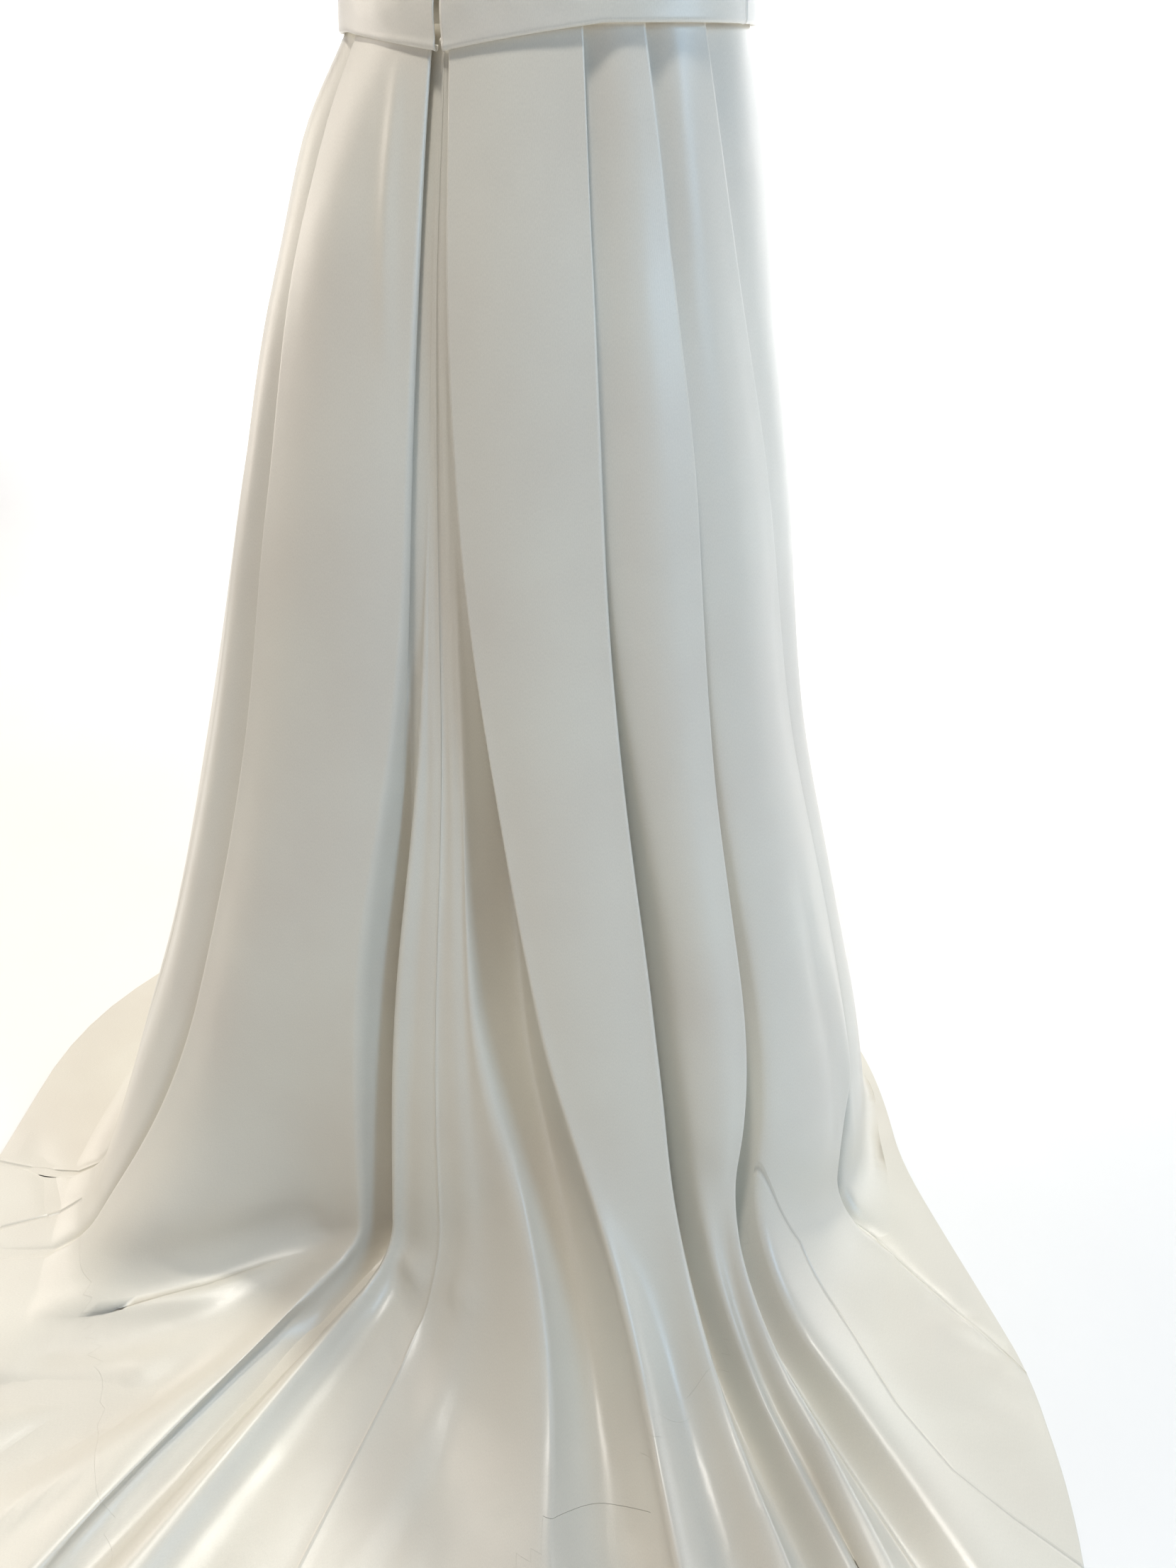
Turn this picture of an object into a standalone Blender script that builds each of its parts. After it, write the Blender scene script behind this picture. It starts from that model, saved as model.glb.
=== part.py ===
"""Ivory satin wedding dress: strapless bodice, waistband, pleated skirt with a train.

Metres, +Z up. The origin is the middle of the waist, at the waistband's lower edge, where the
wearer holds the dress. The wearer faces -Y, so the train runs to +Y.
Directions are degrees seen from above, from the centre back (+Y) round by the wearer's right (-X).
"""
import math

import bmesh
import bpy
import numpy as np

MM = 0.001
CLOTH = 1.2 * MM
SEAM_GAP = 0.3 * MM
WAIST_HALF_WIDTH = 0.150
WAIST_HALF_DEPTH = 0.111
WAIST_TO_FLOOR = 1.000
SKIRT_ROWS = 23
FLOOR_CROWDING = 1.5
FLOOR_SHARE = 0.60

BAND_HEIGHT = 0.058
BAND_CLOTH = 2.0 * MM
BAND_STANDS_OUT = 2.2 * MM
BAND_CLEARANCE = 0.8 * MM
BAND_LAP = 0.6 * MM
BAND_POINT = 0.0132
BAND_POINT_SPREAD = 50.0
BAND_ROWS = 5
BAND_OPENING = 2.6 * MM

BODICE_CLOTH = 1.5 * MM
BODICE_ROWS = 8
BODICE_BACK_TOP = 0.225
BODICE_SIDE_TOP = 0.270
BODICE_FRONT_TOP = 0.330
BODICE_OPENING = 1.6 * MM

TAPE_WIDTH = 0.016
TAPE_CLOTH = 0.8 * MM
TAPE_GAP = 0.7 * MM
TAPE_TOP = 0.223
TAPE_BOTTOM = 0.016

SLIDER_HEIGHT = 0.213
SLIDER_TALL = 9.0 * MM
SLIDER_WIDE = 7.5 * MM
SLIDER_PLATE = 1.6 * MM
SLIDER_STEM = 2.2 * MM
SLIDER_GAP = 0.35 * MM
CATCH_INNER = 1.5 * MM
CATCH_OUTER = 2.5 * MM
CATCH_WIDE = 1.8 * MM
CATCH_STEPS = 12
CATCH_FOOT = 0.5 * MM

PULL_AXIS_OUT = 1.6 * MM
PULL_WIDE = 6.0 * MM
PULL_THICK = 1.2 * MM
PULL_BAR = 0.7 * MM
PULL_LONG = 22.0 * MM
PULL_EYE_WIDE = 3.0 * MM
PULL_EYE_LOW = 3.8 * MM
PULL_CORNER = 0.2 * MM

SATIN = ("satin", (0.80, 0.77, 0.70), 0.38, 0.0)
BAND_SATIN = ("band_satin", (0.80, 0.77, 0.71), 0.36, 0.0)
ZIP_CLOTH = ("zip_cloth", (0.62, 0.54, 0.44), 0.75, 0.0)
ZIP_METAL = ("zip_metal", (0.80, 0.78, 0.72), 0.35, 0.9)

# The skirt's outline: radius at each height, by direction from the axis.
OUTLINE_DIRECTIONS = (-90, -60, -40, -26, -14, 5, 36, 75, 112, 180, 270)
OUTLINE_RADII = (
    # height, then a radius for each direction
    (-0.06, 0.173, 0.173, 0.155, 0.142, 0.131, 0.124, 0.133, 0.153, 0.156, 0.129, 0.173),
    (-0.15, 0.192, 0.207, 0.195, 0.177, 0.158, 0.142, 0.150, 0.161, 0.169, 0.147, 0.192),
    (-0.30, 0.238, 0.263, 0.246, 0.224, 0.200, 0.165, 0.168, 0.183, 0.192, 0.177, 0.238),
    (-0.50, 0.295, 0.322, 0.302, 0.273, 0.237, 0.195, 0.200, 0.215, 0.218, 0.215, 0.295),
    (-0.70, 0.352, 0.385, 0.370, 0.338, 0.283, 0.240, 0.250, 0.270, 0.264, 0.255, 0.352),
    (-0.85, 0.400, 0.435, 0.436, 0.396, 0.308, 0.275, 0.294, 0.312, 0.301, 0.280, 0.400),
    (-1.00, 0.445, 0.480, 0.505, 0.530, 0.322, 0.305, 0.312, 0.332, 0.327, 0.305, 0.445),
)
FLOOR_BEND_RADII = (0.040, 0.030, 0.030, 0.035, 0.014, 0.060, 0.220, 0.085, 0.012, 0.004, 0.040)

# The hem on the floor: direction and distance from the axis.
HEM = (
    (-90, 0.515), (-78, 0.580), (-63, 0.600), (-50, 0.604), (-40, 0.665), (-28, 0.800),
    (-14, 1.000), (0, 1.200), (12, 1.300), (20, 1.320), (28, 1.250), (40, 1.040), (52, 0.860),
    (62, 0.728), (72, 0.625), (80, 0.540), (90, 0.440), (100, 0.372), (121, 0.345),
    (150, 0.330), (180, 0.322), (210, 0.372), (240, 0.450), (270, 0.515),
)

# The pleats. faces: +1 where the folded edge looks to the wearer's right, -1 to the left.
# Each row gives, at the waist, hip, knee, landing and hem: the edge's direction in degrees,
# the depth of the fold and the gap to the next panel in millimetres; then how high the fold
# stands on the floor, in millimetres.
PLEAT_LEVELS = (0.0, 0.30, 0.70, 1.0, 2.0)
PLEATS = (
    ("side_left", -1, (-77, -84, -90, -92, -88), (7, 8, 12, 12, 4), (2, 4, 12, 14, 16), 6),
    ("outer_left", -1, (-61, -43, -42, -43, -47), (7.6, 8.4, 9, 8, 3), (2, 4, 9, 10, 5), 2.5),
    ("inner_left", -1, (-44.5, -33, -31.2, -33, -38), (7, 8, 9, 8, 3), (2, 4, 9, 12, 16), 2.5),
    ("left_opening", 1, (-4.9, -3.6, -7.9, -6, -3), (7, 13, 44, 30, 6), (2, 5, 16, 24, 60), 34),
    ("right_opening", -1, (2.4, 9.0, 27.4, 41, 41.5), (7, 15, 66, 48, 10), (2, 8, 56, 84, 120), 44),
    ("inner_right", 1, (45.1, 45.2, 49.6, 50, 49), (6, 13, 60, 46, 10), (2, 4, 17, 30, 70), 40),
    ("outer_right", 1, (60.9, 68.6, 67, 58, 56), (6, 10, 36, 34, 8), (2, 4, 18, 36, 80), 42),
    ("side_right", 1, (77.2, 94.5, 100, 84.5, 80), (6, 8, 20, 18, 2.5), (2, 4, 16, 18, 4), 3),
)
OVERLAP = (15.0, 13.0, 6.0, 0.0, 0.0)
OPENNESS = (0.0, 0.25, 0.85, 1.0, 1.0)
EDGE_RUN = (3.0, 4.0, 8.0, 12.0, 20.0)
TIGHT_TURNS = ("edge", "under_edge", "return", "inner_fold")

# The strip between the two centre back pleats: direction and depth at the same five levels,
# then its height on the floor.
STRIP = (
    ("strip_left", (-2.1, -0.7, -0.6, 1.2, 5), (7.1, 10, 14, 8, 0), 2),
    ("left_rib", (-1.6, 0.6, 2.6, 6.2, 9), (7.1, 7.5, 10, 3, 0), 5),
    ("seam", (-1.1, 1.9, 6.2, 12.0, 15.5), (7.1, 10, 13, 6, 0), 2),
    ("right_rib", (-0.6, 3.2, 9.2, 16.5, 21), (7.1, 7.5, 11, 3, 0), 5),
    ("strip_right", (-0.1, 4.4, 11.8, 21, 29), (7.1, 10, 15, 7, 0), 2),
)
PANEL_BULGE = (0.0, 2.0, 7.0, 2.0, 0.0)
FLUTE_DEPTH = (0.0, 2.0, 13.0, 9.0, 0.0)
FLUTE_POINTS = 17


def steady_curve(xs, ys, x):
    """A smooth curve through points that never overshoots them, read at x."""
    xs = np.asarray(xs, float)
    ys = np.asarray(ys, float)
    steps = np.diff(xs)
    slopes = np.diff(ys) / steps
    bends = np.zeros(len(xs))
    bends[0] = slopes[0]
    bends[-1] = slopes[-1]
    for k in range(1, len(xs) - 1):
        if slopes[k - 1] * slopes[k] > 0:
            before = 2 * steps[k] + steps[k - 1]
            after = steps[k] + 2 * steps[k - 1]
            bends[k] = (before + after) / (before / slopes[k - 1] + after / slopes[k])
    x = np.clip(x, xs[0], xs[-1])
    k = np.clip(np.searchsorted(xs, x, side="right") - 1, 0, len(xs) - 2)
    t = (x - xs[k]) / steps[k]
    return (
        ys[k] * (1 + 2 * t) * (1 - t) ** 2
        + bends[k] * steps[k] * t * (1 - t) ** 2
        + ys[k + 1] * t * t * (3 - 2 * t)
        - bends[k + 1] * steps[k] * t * t * (1 - t)
    )


def wrapped(direction):
    """The same direction, between -90 and 270 degrees."""
    return (direction + 90.0) % 360.0 - 90.0


def ellipse_radius(direction, half_width, half_depth):
    turn = math.radians(direction)
    return 1.0 / math.hypot(math.sin(turn) / half_width, math.cos(turn) / half_depth)


def outline_radius(direction, height):
    """The skirt's radius at a height, with the bend where the cloth runs out on the floor."""
    around = wrapped(direction)
    heights = [0.0]
    radii = [ellipse_radius(around, WAIST_HALF_WIDTH, WAIST_HALF_DEPTH)]
    for row in OUTLINE_RADII:
        heights.append(-row[0])
        radii.append(float(steady_curve(OUTLINE_DIRECTIONS, row[1:], around)))
    radius = float(steady_curve(heights, radii, -height))
    bend = float(steady_curve(OUTLINE_DIRECTIONS, FLOOR_BEND_RADII, around))
    above = max(height + WAIST_TO_FLOOR, 0.0)
    if above < bend:
        radius += bend * (1.0 - math.sqrt(1.0 - (1.0 - above / bend) ** 2))
    return radius


def hem_radius(direction):
    directions, radii = zip(*HEM)
    return float(steady_curve(directions, radii, wrapped(direction)))


def point_at(direction, radius, height):
    turn = math.radians(direction)
    return (-radius * math.sin(turn), radius * math.cos(turn), height)


def pleat_points(pleat):
    """Guide points of one folded edge, in order round the skirt."""
    name, faces, directions, depths, gaps, tall = pleat
    radii = [outline_radius(d, -WAIST_TO_FLOOR * min(q, 1.0)) for d, q in zip(directions, PLEAT_LEVELS)]
    radii[-1] = hem_radius(directions[-1])
    per_mm = [math.degrees(MM / radius) for radius in radii]
    depths = np.array(depths, float)
    gaps = np.array(gaps, float)
    opened = np.array(OPENNESS)
    edge_run = np.array(EDGE_RUN)
    back = gaps * 0.35 * opened - np.array(OVERLAP) * (1.0 - opened)
    fold = (
        # part, how far it lies past the edge, its depth, its share of the height on the floor
        ("edge_run", -edge_run, 0 * depths, 0.9),
        ("edge", 0 * gaps, 0 * depths, 1.0),
        ("under_edge", 0 * gaps, depths * 0.46, 0.5),
        ("return", back, depths * (0.54 + 0.40 * opened**2), 0.0),
        ("inner_fold", back + gaps * 0.3 * opened, depths, 0.0),
        ("next_roll", gaps, depths * (1.02 - 0.60 * opened), 0.5),
        ("next_panel", gaps + edge_run * 0.8, depths * (1.02 - 0.95 * opened), 0.8),
    )
    points = []
    for part, beyond, depth, share in fold:
        around = [d + faces * b * p for d, b, p in zip(directions, beyond, per_mm)]
        points.append((name + "_" + part, tuple(around), tuple(depth), tall * share))
    return points if faces > 0 else points[::-1]


def panel_points(name, before, after, count):
    """Guide points spread between two others, standing out a little as a rounded panel."""
    points = []
    for k in range(1, count + 1):
        share = k / (count + 1)
        crown = math.sin(math.pi * share)
        around = [a + (b - a) * share for a, b in zip(before[1], after[1])]
        depth = [
            (a + (b - a) * share) * (1 - crown) - bulge * crown
            for a, b, bulge in zip(before[2], after[2], PANEL_BULGE)
        ]
        tall = (before[3] + (after[3] - before[3]) * share) * (1 - 0.6 * crown)
        points.append((f"{name}_{k}", tuple(around), tuple(depth), tall))
    return points


def front_points(before, after):
    """Guide points round the sides and front, where the skirt hangs in soft flutes."""
    points = []
    for k in range(1, FLUTE_POINTS + 1):
        share = k / (FLUTE_POINTS + 1)
        around = [a + (b + 360 - a) * share for a, b in zip(before[1], after[1])]
        wave = 1.0 if k % 2 == 0 else -1.0
        fade = min(1.0, 3 * share, 3 * (1 - share))
        uneven = 1.0 + 0.35 * math.sin(2.4 * k)
        depth = [amount * wave * fade * uneven for amount in FLUTE_DEPTH]
        points.append((f"front_{k}", tuple(around), tuple(depth), 0.0))
    return points


def skirt_guides():
    """Every guide point once round the skirt, from the side left pleat."""
    pleats = [pleat_points(pleat) for pleat in PLEATS]
    panel_counts = {"side_left": 1, "outer_left": 1, "inner_left": 5}
    panel_counts.update({"right_opening": 4, "inner_right": 1, "outer_right": 2})
    guides = list(pleats[0])
    for k in range(1, len(pleats)):
        name = PLEATS[k - 1][0]
        if name in panel_counts:
            before = pleats[k - 1][-1]
            guides += panel_points(name + "_panel", before, pleats[k][0], panel_counts[name])
        else:
            guides += STRIP
        guides += pleats[k]
    guides += front_points(pleats[-1][-1], pleats[0][0])
    return guides


def guide_path(guide, rows):
    """One guide point's way from the waist down to the floor and out to the hem."""
    name, directions, depths, tall = guide
    landing = outline_radius(directions[3], -WAIST_TO_FLOOR)
    hem = hem_radius(directions[4])
    drop_share = 1.0 / (1.02 + FLOOR_SHARE * max(hem - landing, 0.01))
    way = []
    for share in rows:
        if share <= drop_share:
            q = 1.0 - (1.0 - share / drop_share) ** FLOOR_CROWDING
        else:
            q = 1.0 + (share - drop_share) / (1.0 - drop_share)
        direction = float(steady_curve(PLEAT_LEVELS, directions, q))
        depth = MM * float(steady_curve(PLEAT_LEVELS, depths, q))
        run = max(q - 1.0, 0.0)
        level = -WAIST_TO_FLOOR * min(q, 1.0)
        height = level + tall * MM * min(q, 1.0) ** 2 * (1.0 - run) ** 0.7
        if run > 0:
            radius = landing + (hem - landing) * run - depth * (1.0 - run) ** 2
        else:
            radius = outline_radius(direction, level) - depth
        way.append(point_at(direction, radius, height + CLOTH / 2))
    return way


def rounded_ring(corners, samples):
    """A quadratic B-spline round closed guide points, with samples[k] points on span k."""
    count = len(corners)
    ring = []
    for k in range(count):
        before = (corners[k - 1] + corners[k]) / 2
        after = (corners[k] + corners[(k + 1) % count]) / 2
        for step in range(samples[k]):
            t = (step + 0.5) / samples[k]
            ring.append((1 - t) ** 2 * before + 2 * t * (1 - t) * corners[k] + t * t * after)
    return ring


def skirt_surface():
    """The skirt's middle surface as rows of points, and the column where each guide lies."""
    guides = skirt_guides()
    rows = np.linspace(0.0, 1.0, SKIRT_ROWS)
    paths = np.array([guide_path(guide, rows) for guide in guides])
    samples = [2 if guide[0].endswith(TIGHT_TURNS) else 1 for guide in guides]
    columns = {}
    for k, guide in enumerate(guides):
        columns[guide[0]] = sum(samples[:k])
    surface = np.array([rounded_ring(paths[:, j], samples) for j in range(SKIRT_ROWS)])
    return surface, columns


def surface_normals(surface, closed):
    """Outward unit normals of rows of points that go round towards +direction."""
    along = np.gradient(surface, axis=0)
    if closed:
        around = (np.roll(surface, -1, axis=1) - np.roll(surface, 1, axis=1)) / 2
    else:
        around = np.gradient(surface, axis=1)
    normals = np.cross(around, along)
    return normals / np.linalg.norm(normals, axis=2, keepdims=True)


def cloth_piece(name, surface, normals, thickness, material, trim=True):
    """A closed wall of cloth round a middle surface, its two side edges trimmed by half a seam."""
    surface = surface.copy()
    if trim:
        for edge, inner in ((0, 1), (-1, -2)):
            inward = surface[:, inner] - surface[:, edge]
            inward /= np.linalg.norm(inward, axis=1, keepdims=True)
            surface[:, edge] += inward * SEAM_GAP / 2
    rows, columns = surface.shape[:2]
    outer = (surface + normals * thickness / 2).reshape(-1, 3)
    inner = (surface - normals * thickness / 2).reshape(-1, 3)
    points = [tuple(p) for p in np.concatenate([outer, inner])]
    half = rows * columns
    faces = []
    for j in range(rows - 1):
        for i in range(columns - 1):
            a = j * columns + i
            b = a + 1
            c = b + columns
            d = a + columns
            faces.append((a, b, c, d))
            faces.append((half + a, half + d, half + c, half + b))
    for i in range(columns - 1):
        last = (rows - 1) * columns + i
        faces.append((i, half + i, half + i + 1, i + 1))
        faces.append((last, last + 1, half + last + 1, half + last))
    for j in range(rows - 1):
        left = j * columns
        right = left + columns - 1
        faces.append((left, left + columns, half + left + columns, half + left))
        faces.append((right, half + right, half + right + columns, right + columns))
    return closed_object(name, points, faces, material)


def closed_object(name, points, faces, material):
    mesh = bpy.data.meshes.new(name)
    mesh.from_pydata(points, [], faces)
    mesh.update()
    mesh.shade_smooth()
    mesh.set_sharp_from_angle(angle=math.radians(50))
    mesh.materials.append(finish(*material))
    piece = bpy.data.objects.new(name, mesh)
    bpy.context.collection.objects.link(piece)
    return piece


def finish(name, colour, roughness, metallic):
    material = bpy.data.materials.get(name)
    if material is None:
        material = bpy.data.materials.new(name)
        material.use_nodes = True
        shader = material.node_tree.nodes["Principled BSDF"]
        shader.inputs["Base Color"].default_value = (*colour, 1.0)
        shader.inputs["Roughness"].default_value = roughness
        shader.inputs["Metallic"].default_value = metallic
    return material


def make_skirt():
    surface, guide_columns = skirt_surface()
    normals = surface_normals(surface, closed=True)
    columns = surface.shape[1]
    cuts = (
        ("skirt_back_right", "seam", "outer_right_inner_fold"),
        ("skirt_side_right", "outer_right_inner_fold", "side_right_inner_fold"),
        ("skirt_front", "side_right_inner_fold", "side_left_inner_fold"),
        ("skirt_side_left", "side_left_inner_fold", "outer_left_inner_fold"),
        ("skirt_back_left", "outer_left_inner_fold", "seam"),
    )
    for name, start, end in cuts:
        first = guide_columns[start]
        last = guide_columns[end]
        span = (last - first) % columns
        picked = [(first + k) % columns for k in range(span + 1)]
        cloth_piece(name, surface[:, picked], normals[:, picked], CLOTH, SATIN)


def band_drop(direction):
    """How far the waistband's lower edge dips towards its point at the centre back."""
    away = abs((direction + 180.0) % 360.0 - 180.0)
    return BAND_POINT * max(0.0, 1.0 - away / BAND_POINT_SPREAD)


def body_radius(direction, height):
    """The bodice and waistband's radius, a plain fitted shape on a general figure."""
    heights = (-0.02, 0.0, 0.055, 0.10, 0.17, 0.25, 0.34)
    half_widths = (0.151, 0.150, 0.143, 0.140, 0.146, 0.156, 0.158)
    back_depths = (0.112, 0.111, 0.103, 0.100, 0.106, 0.112, 0.110)
    front_depths = (0.112, 0.111, 0.104, 0.102, 0.112, 0.132, 0.122)
    wide = float(steady_curve(heights, half_widths, height))
    back = float(steady_curve(heights, back_depths, height))
    front = float(steady_curve(heights, front_depths, height))
    deep = back if math.cos(math.radians(direction)) > 0 else front
    return ellipse_radius(direction, wide, deep)


def make_waistband():
    """Three strips that stand proud of the pleats, with a soft roll along the lower edge."""
    at_edge = math.degrees(BAND_OPENING / WAIST_HALF_DEPTH)
    at_top = math.degrees(BODICE_OPENING / WAIST_HALF_DEPTH)
    side = 90.0
    cuts = (
        ("waistband_back_right", (at_edge, at_top), (side, side), 14),
        ("waistband_front", (side, side), (360 - side, 360 - side), 18),
        ("waistband_back_left", (360 - side, 360 - side), (360 - at_edge, 360 - at_top), 14),
    )
    for name, start, end, count in cuts:
        surface = []
        for j in range(BAND_ROWS):
            share = j / (BAND_ROWS - 1)
            row = []
            for i in range(count + 1):
                across = i / count
                first = start[0] + (start[1] - start[0]) * (1 - share)
                last = end[0] + (end[1] - end[0]) * (1 - share)
                direction = first + (last - first) * across
                low = -band_drop(direction) - BAND_LAP
                height = BAND_HEIGHT + (low - BAND_HEIGHT) * share
                puff = BAND_STANDS_OUT * (0.6 + 0.9 * math.sin(math.pi * min(share * 0.75, 1.0)))
                inner_face = body_radius(direction, height) + puff
                if height < BAND_LAP:
                    skirt = outline_radius(direction, min(height, 0.0)) + CLOTH / 2
                    inner_face = max(inner_face, skirt + BAND_CLEARANCE)
                row.append(point_at(direction, inner_face + BAND_CLOTH / 2, height))
            surface.append(row)
        surface = np.array(surface)
        normals = surface_normals(surface, closed=False)
        cloth_piece(name, surface, normals, BAND_CLOTH, BAND_SATIN)


def bodice_top(direction):
    """The height of the neck edge: lowest at the centre back, highest at the front."""
    away = abs((direction + 180.0) % 360.0 - 180.0)
    knots = (0.0, 60.0, 100.0, 150.0, 180.0)
    tops = (BODICE_BACK_TOP, BODICE_BACK_TOP + 0.012, BODICE_SIDE_TOP, BODICE_FRONT_TOP, BODICE_FRONT_TOP - 0.012)
    return float(steady_curve(knots, tops, away))


def make_bodice():
    """Five fitted panels from the waistband's top edge to the neck edge."""
    opening = math.degrees(BODICE_OPENING / WAIST_HALF_DEPTH)
    cuts = (
        ("bodice_back_right", opening, 68, 9),
        ("bodice_side_right", 68, 118, 7),
        ("bodice_front", 118, 242, 16),
        ("bodice_side_left", 242, 292, 7),
        ("bodice_back_left", 292, 360 - opening, 9),
    )
    for name, start, end, count in cuts:
        surface = []
        low = BAND_HEIGHT + SEAM_GAP
        for j in range(BODICE_ROWS):
            share = j / (BODICE_ROWS - 1)
            row = []
            for i in range(count + 1):
                direction = start + (end - start) * i / count
                height = bodice_top(direction) + (low - bodice_top(direction)) * share
                radius = body_radius(direction, height) + BODICE_CLOTH / 2
                row.append(point_at(direction, radius, height))
            surface.append(row)
        surface = np.array(surface)
        normals = surface_normals(surface, closed=False)
        cloth_piece(name, surface, normals, BODICE_CLOTH, SATIN)


def outward_steps(direction_count, start, end):
    """Evenly spread turns in radians, from start to end in degrees."""
    return [math.radians(start + (end - start) * k / direction_count) for k in range(direction_count + 1)]


def prism(name, outline, width, across, material):
    """A closed slab: a flat outline drawn in one plane and pushed through to a width."""
    count = len(outline)
    points = [across(a, b, -width / 2) for a, b in outline]
    points += [across(a, b, width / 2) for a, b in outline]
    faces = [tuple(range(count)), tuple(range(2 * count - 1, count - 1, -1))]
    for k in range(count):
        following = (k + 1) % count
        faces.append((k, count + k, count + following, following))
    piece = closed_object(name, points, faces, material)
    turned_out(piece)
    return piece


def turned_out(piece):
    """Turns every face of a closed piece to the outside."""
    mesh = bmesh.new()
    mesh.from_mesh(piece.data)
    bmesh.ops.recalc_face_normals(mesh, faces=mesh.faces[:])
    mesh.to_mesh(piece.data)
    mesh.free()


def make_zip_tape():
    """The tape that closes the centre back opening from behind."""
    half = math.degrees(TAPE_WIDTH / 2 / WAIST_HALF_DEPTH)
    rows = 9
    columns = 4
    surface = []
    for j in range(rows):
        height = TAPE_TOP + (TAPE_BOTTOM - TAPE_TOP) * j / (rows - 1)
        row = []
        for i in range(columns + 1):
            direction = -half + 2 * half * i / columns
            radius = body_radius(direction, height) - TAPE_GAP - TAPE_CLOTH / 2
            row.append(point_at(direction, radius, height))
        surface.append(row)
    surface = np.array(surface)
    normals = surface_normals(surface, closed=False)
    cloth_piece("zip_tape", surface, normals, TAPE_CLOTH, ZIP_CLOTH, trim=False)


def make_zip_slider():
    """A plate outside the opening, a stem that reaches the tape, and the round catch."""
    face = body_radius(0, SLIDER_HEIGHT) + BODICE_CLOTH + SLIDER_GAP
    tape = body_radius(0, SLIDER_HEIGHT + SLIDER_TALL / 2)
    half = SLIDER_WIDE / 2
    stem = SLIDER_STEM / 2
    plate = face + SLIDER_PLATE
    outline = (
        (-stem, tape), (stem, tape), (stem, face), (half, face),
        (half, plate), (-half, plate), (-half, face), (-stem, face),
    )
    body = prism(
        "zip_slider", outline, SLIDER_TALL, lambda x, y, z: (x, y, SLIDER_HEIGHT + z), ZIP_METAL
    )
    axis_y = plate + PULL_AXIS_OUT
    foot = plate - CATCH_FOOT
    ring = [(foot, SLIDER_HEIGHT + CATCH_OUTER)]
    for turn in outward_steps(CATCH_STEPS, 90, -90):
        ring.append((axis_y + CATCH_OUTER * math.cos(turn), SLIDER_HEIGHT + CATCH_OUTER * math.sin(turn)))
    ring += [(foot, SLIDER_HEIGHT - CATCH_OUTER), (foot, SLIDER_HEIGHT - CATCH_INNER)]
    for turn in outward_steps(CATCH_STEPS, -90, 90):
        ring.append((axis_y + CATCH_INNER * math.cos(turn), SLIDER_HEIGHT + CATCH_INNER * math.sin(turn)))
    ring.append((foot, SLIDER_HEIGHT + CATCH_INNER))
    catch = prism("catch", ring, CATCH_WIDE, lambda y, z, x: (x, y, z), ZIP_METAL)
    catch.hide_render = True
    catch.display_type = "WIRE"
    union = body.modifiers.new("catch", "BOOLEAN")
    union.operation = "UNION"
    union.object = catch
    return axis_y


def make_zip_pull(axis_y):
    """A flat tab with an eye at its top; its origin is on the line that it swings about."""
    half = PULL_WIDE / 2
    eye = PULL_EYE_WIDE / 2
    outer = ((-half, PULL_BAR), (half, PULL_BAR), (half, -PULL_LONG), (-half, -PULL_LONG))
    inner = ((-eye, -PULL_BAR), (eye, -PULL_BAR), (eye, -PULL_EYE_LOW), (-eye, -PULL_EYE_LOW))
    points = []
    for y in (-PULL_THICK / 2, PULL_THICK / 2):
        for loop in (outer, inner):
            points += [(x, y, z) for x, z in loop]
    faces = []
    for k in range(4):
        n = (k + 1) % 4
        faces.append((k, n, 4 + n, 4 + k))
        faces.append((8 + k, 12 + k, 12 + n, 8 + n))
        faces.append((k, 8 + k, 8 + n, n))
        faces.append((4 + k, 4 + n, 12 + n, 12 + k))
    pull = closed_object("zip_pull", points, faces, ZIP_METAL)
    turned_out(pull)
    pull.location = (0.0, axis_y, SLIDER_HEIGHT)
    corner = pull.modifiers.new("soft_corners", "BEVEL")
    corner.width = PULL_CORNER
    corner.segments = 1


def main():
    for item in list(bpy.data.objects):
        bpy.data.objects.remove(item, do_unlink=True)
    make_skirt()
    make_waistband()
    make_bodice()
    make_zip_tape()
    pull_axis = make_zip_slider()
    make_zip_pull(pull_axis)


main()
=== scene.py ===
# %% [markdown]
# # A satin wedding dress
# The real gown is a fitted bodice, a smooth waistband and a long pleated skirt with a train.
# It is made here from the skirt's own lines: where each fold runs, how deep it is and where
# it lands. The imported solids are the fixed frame, and each cloth piece lies on its solid.

# %% Load the frame
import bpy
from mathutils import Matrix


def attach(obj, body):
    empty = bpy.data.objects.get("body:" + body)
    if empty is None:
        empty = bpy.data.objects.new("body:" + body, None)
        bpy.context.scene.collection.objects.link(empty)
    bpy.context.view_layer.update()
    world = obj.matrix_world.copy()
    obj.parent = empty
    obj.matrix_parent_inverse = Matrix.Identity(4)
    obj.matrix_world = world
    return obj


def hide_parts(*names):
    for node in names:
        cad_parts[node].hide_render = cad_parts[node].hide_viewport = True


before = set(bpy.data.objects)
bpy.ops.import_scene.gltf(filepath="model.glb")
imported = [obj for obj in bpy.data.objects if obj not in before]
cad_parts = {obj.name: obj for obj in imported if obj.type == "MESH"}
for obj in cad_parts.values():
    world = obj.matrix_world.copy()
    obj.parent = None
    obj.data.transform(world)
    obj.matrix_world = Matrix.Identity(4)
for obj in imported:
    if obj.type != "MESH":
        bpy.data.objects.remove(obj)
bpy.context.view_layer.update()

import math
import bpy
import numpy as np
from mathutils import Matrix, Vector, noise

MM = 0.001

# %% [markdown]
# ## Camera
# The view is from behind, a little to the wearer's right, from waist height and looking down
# at the train. A camera is set from a place, a heading and a tilt. The width of
# view is given for the picture's long side, which is its height here.

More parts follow.
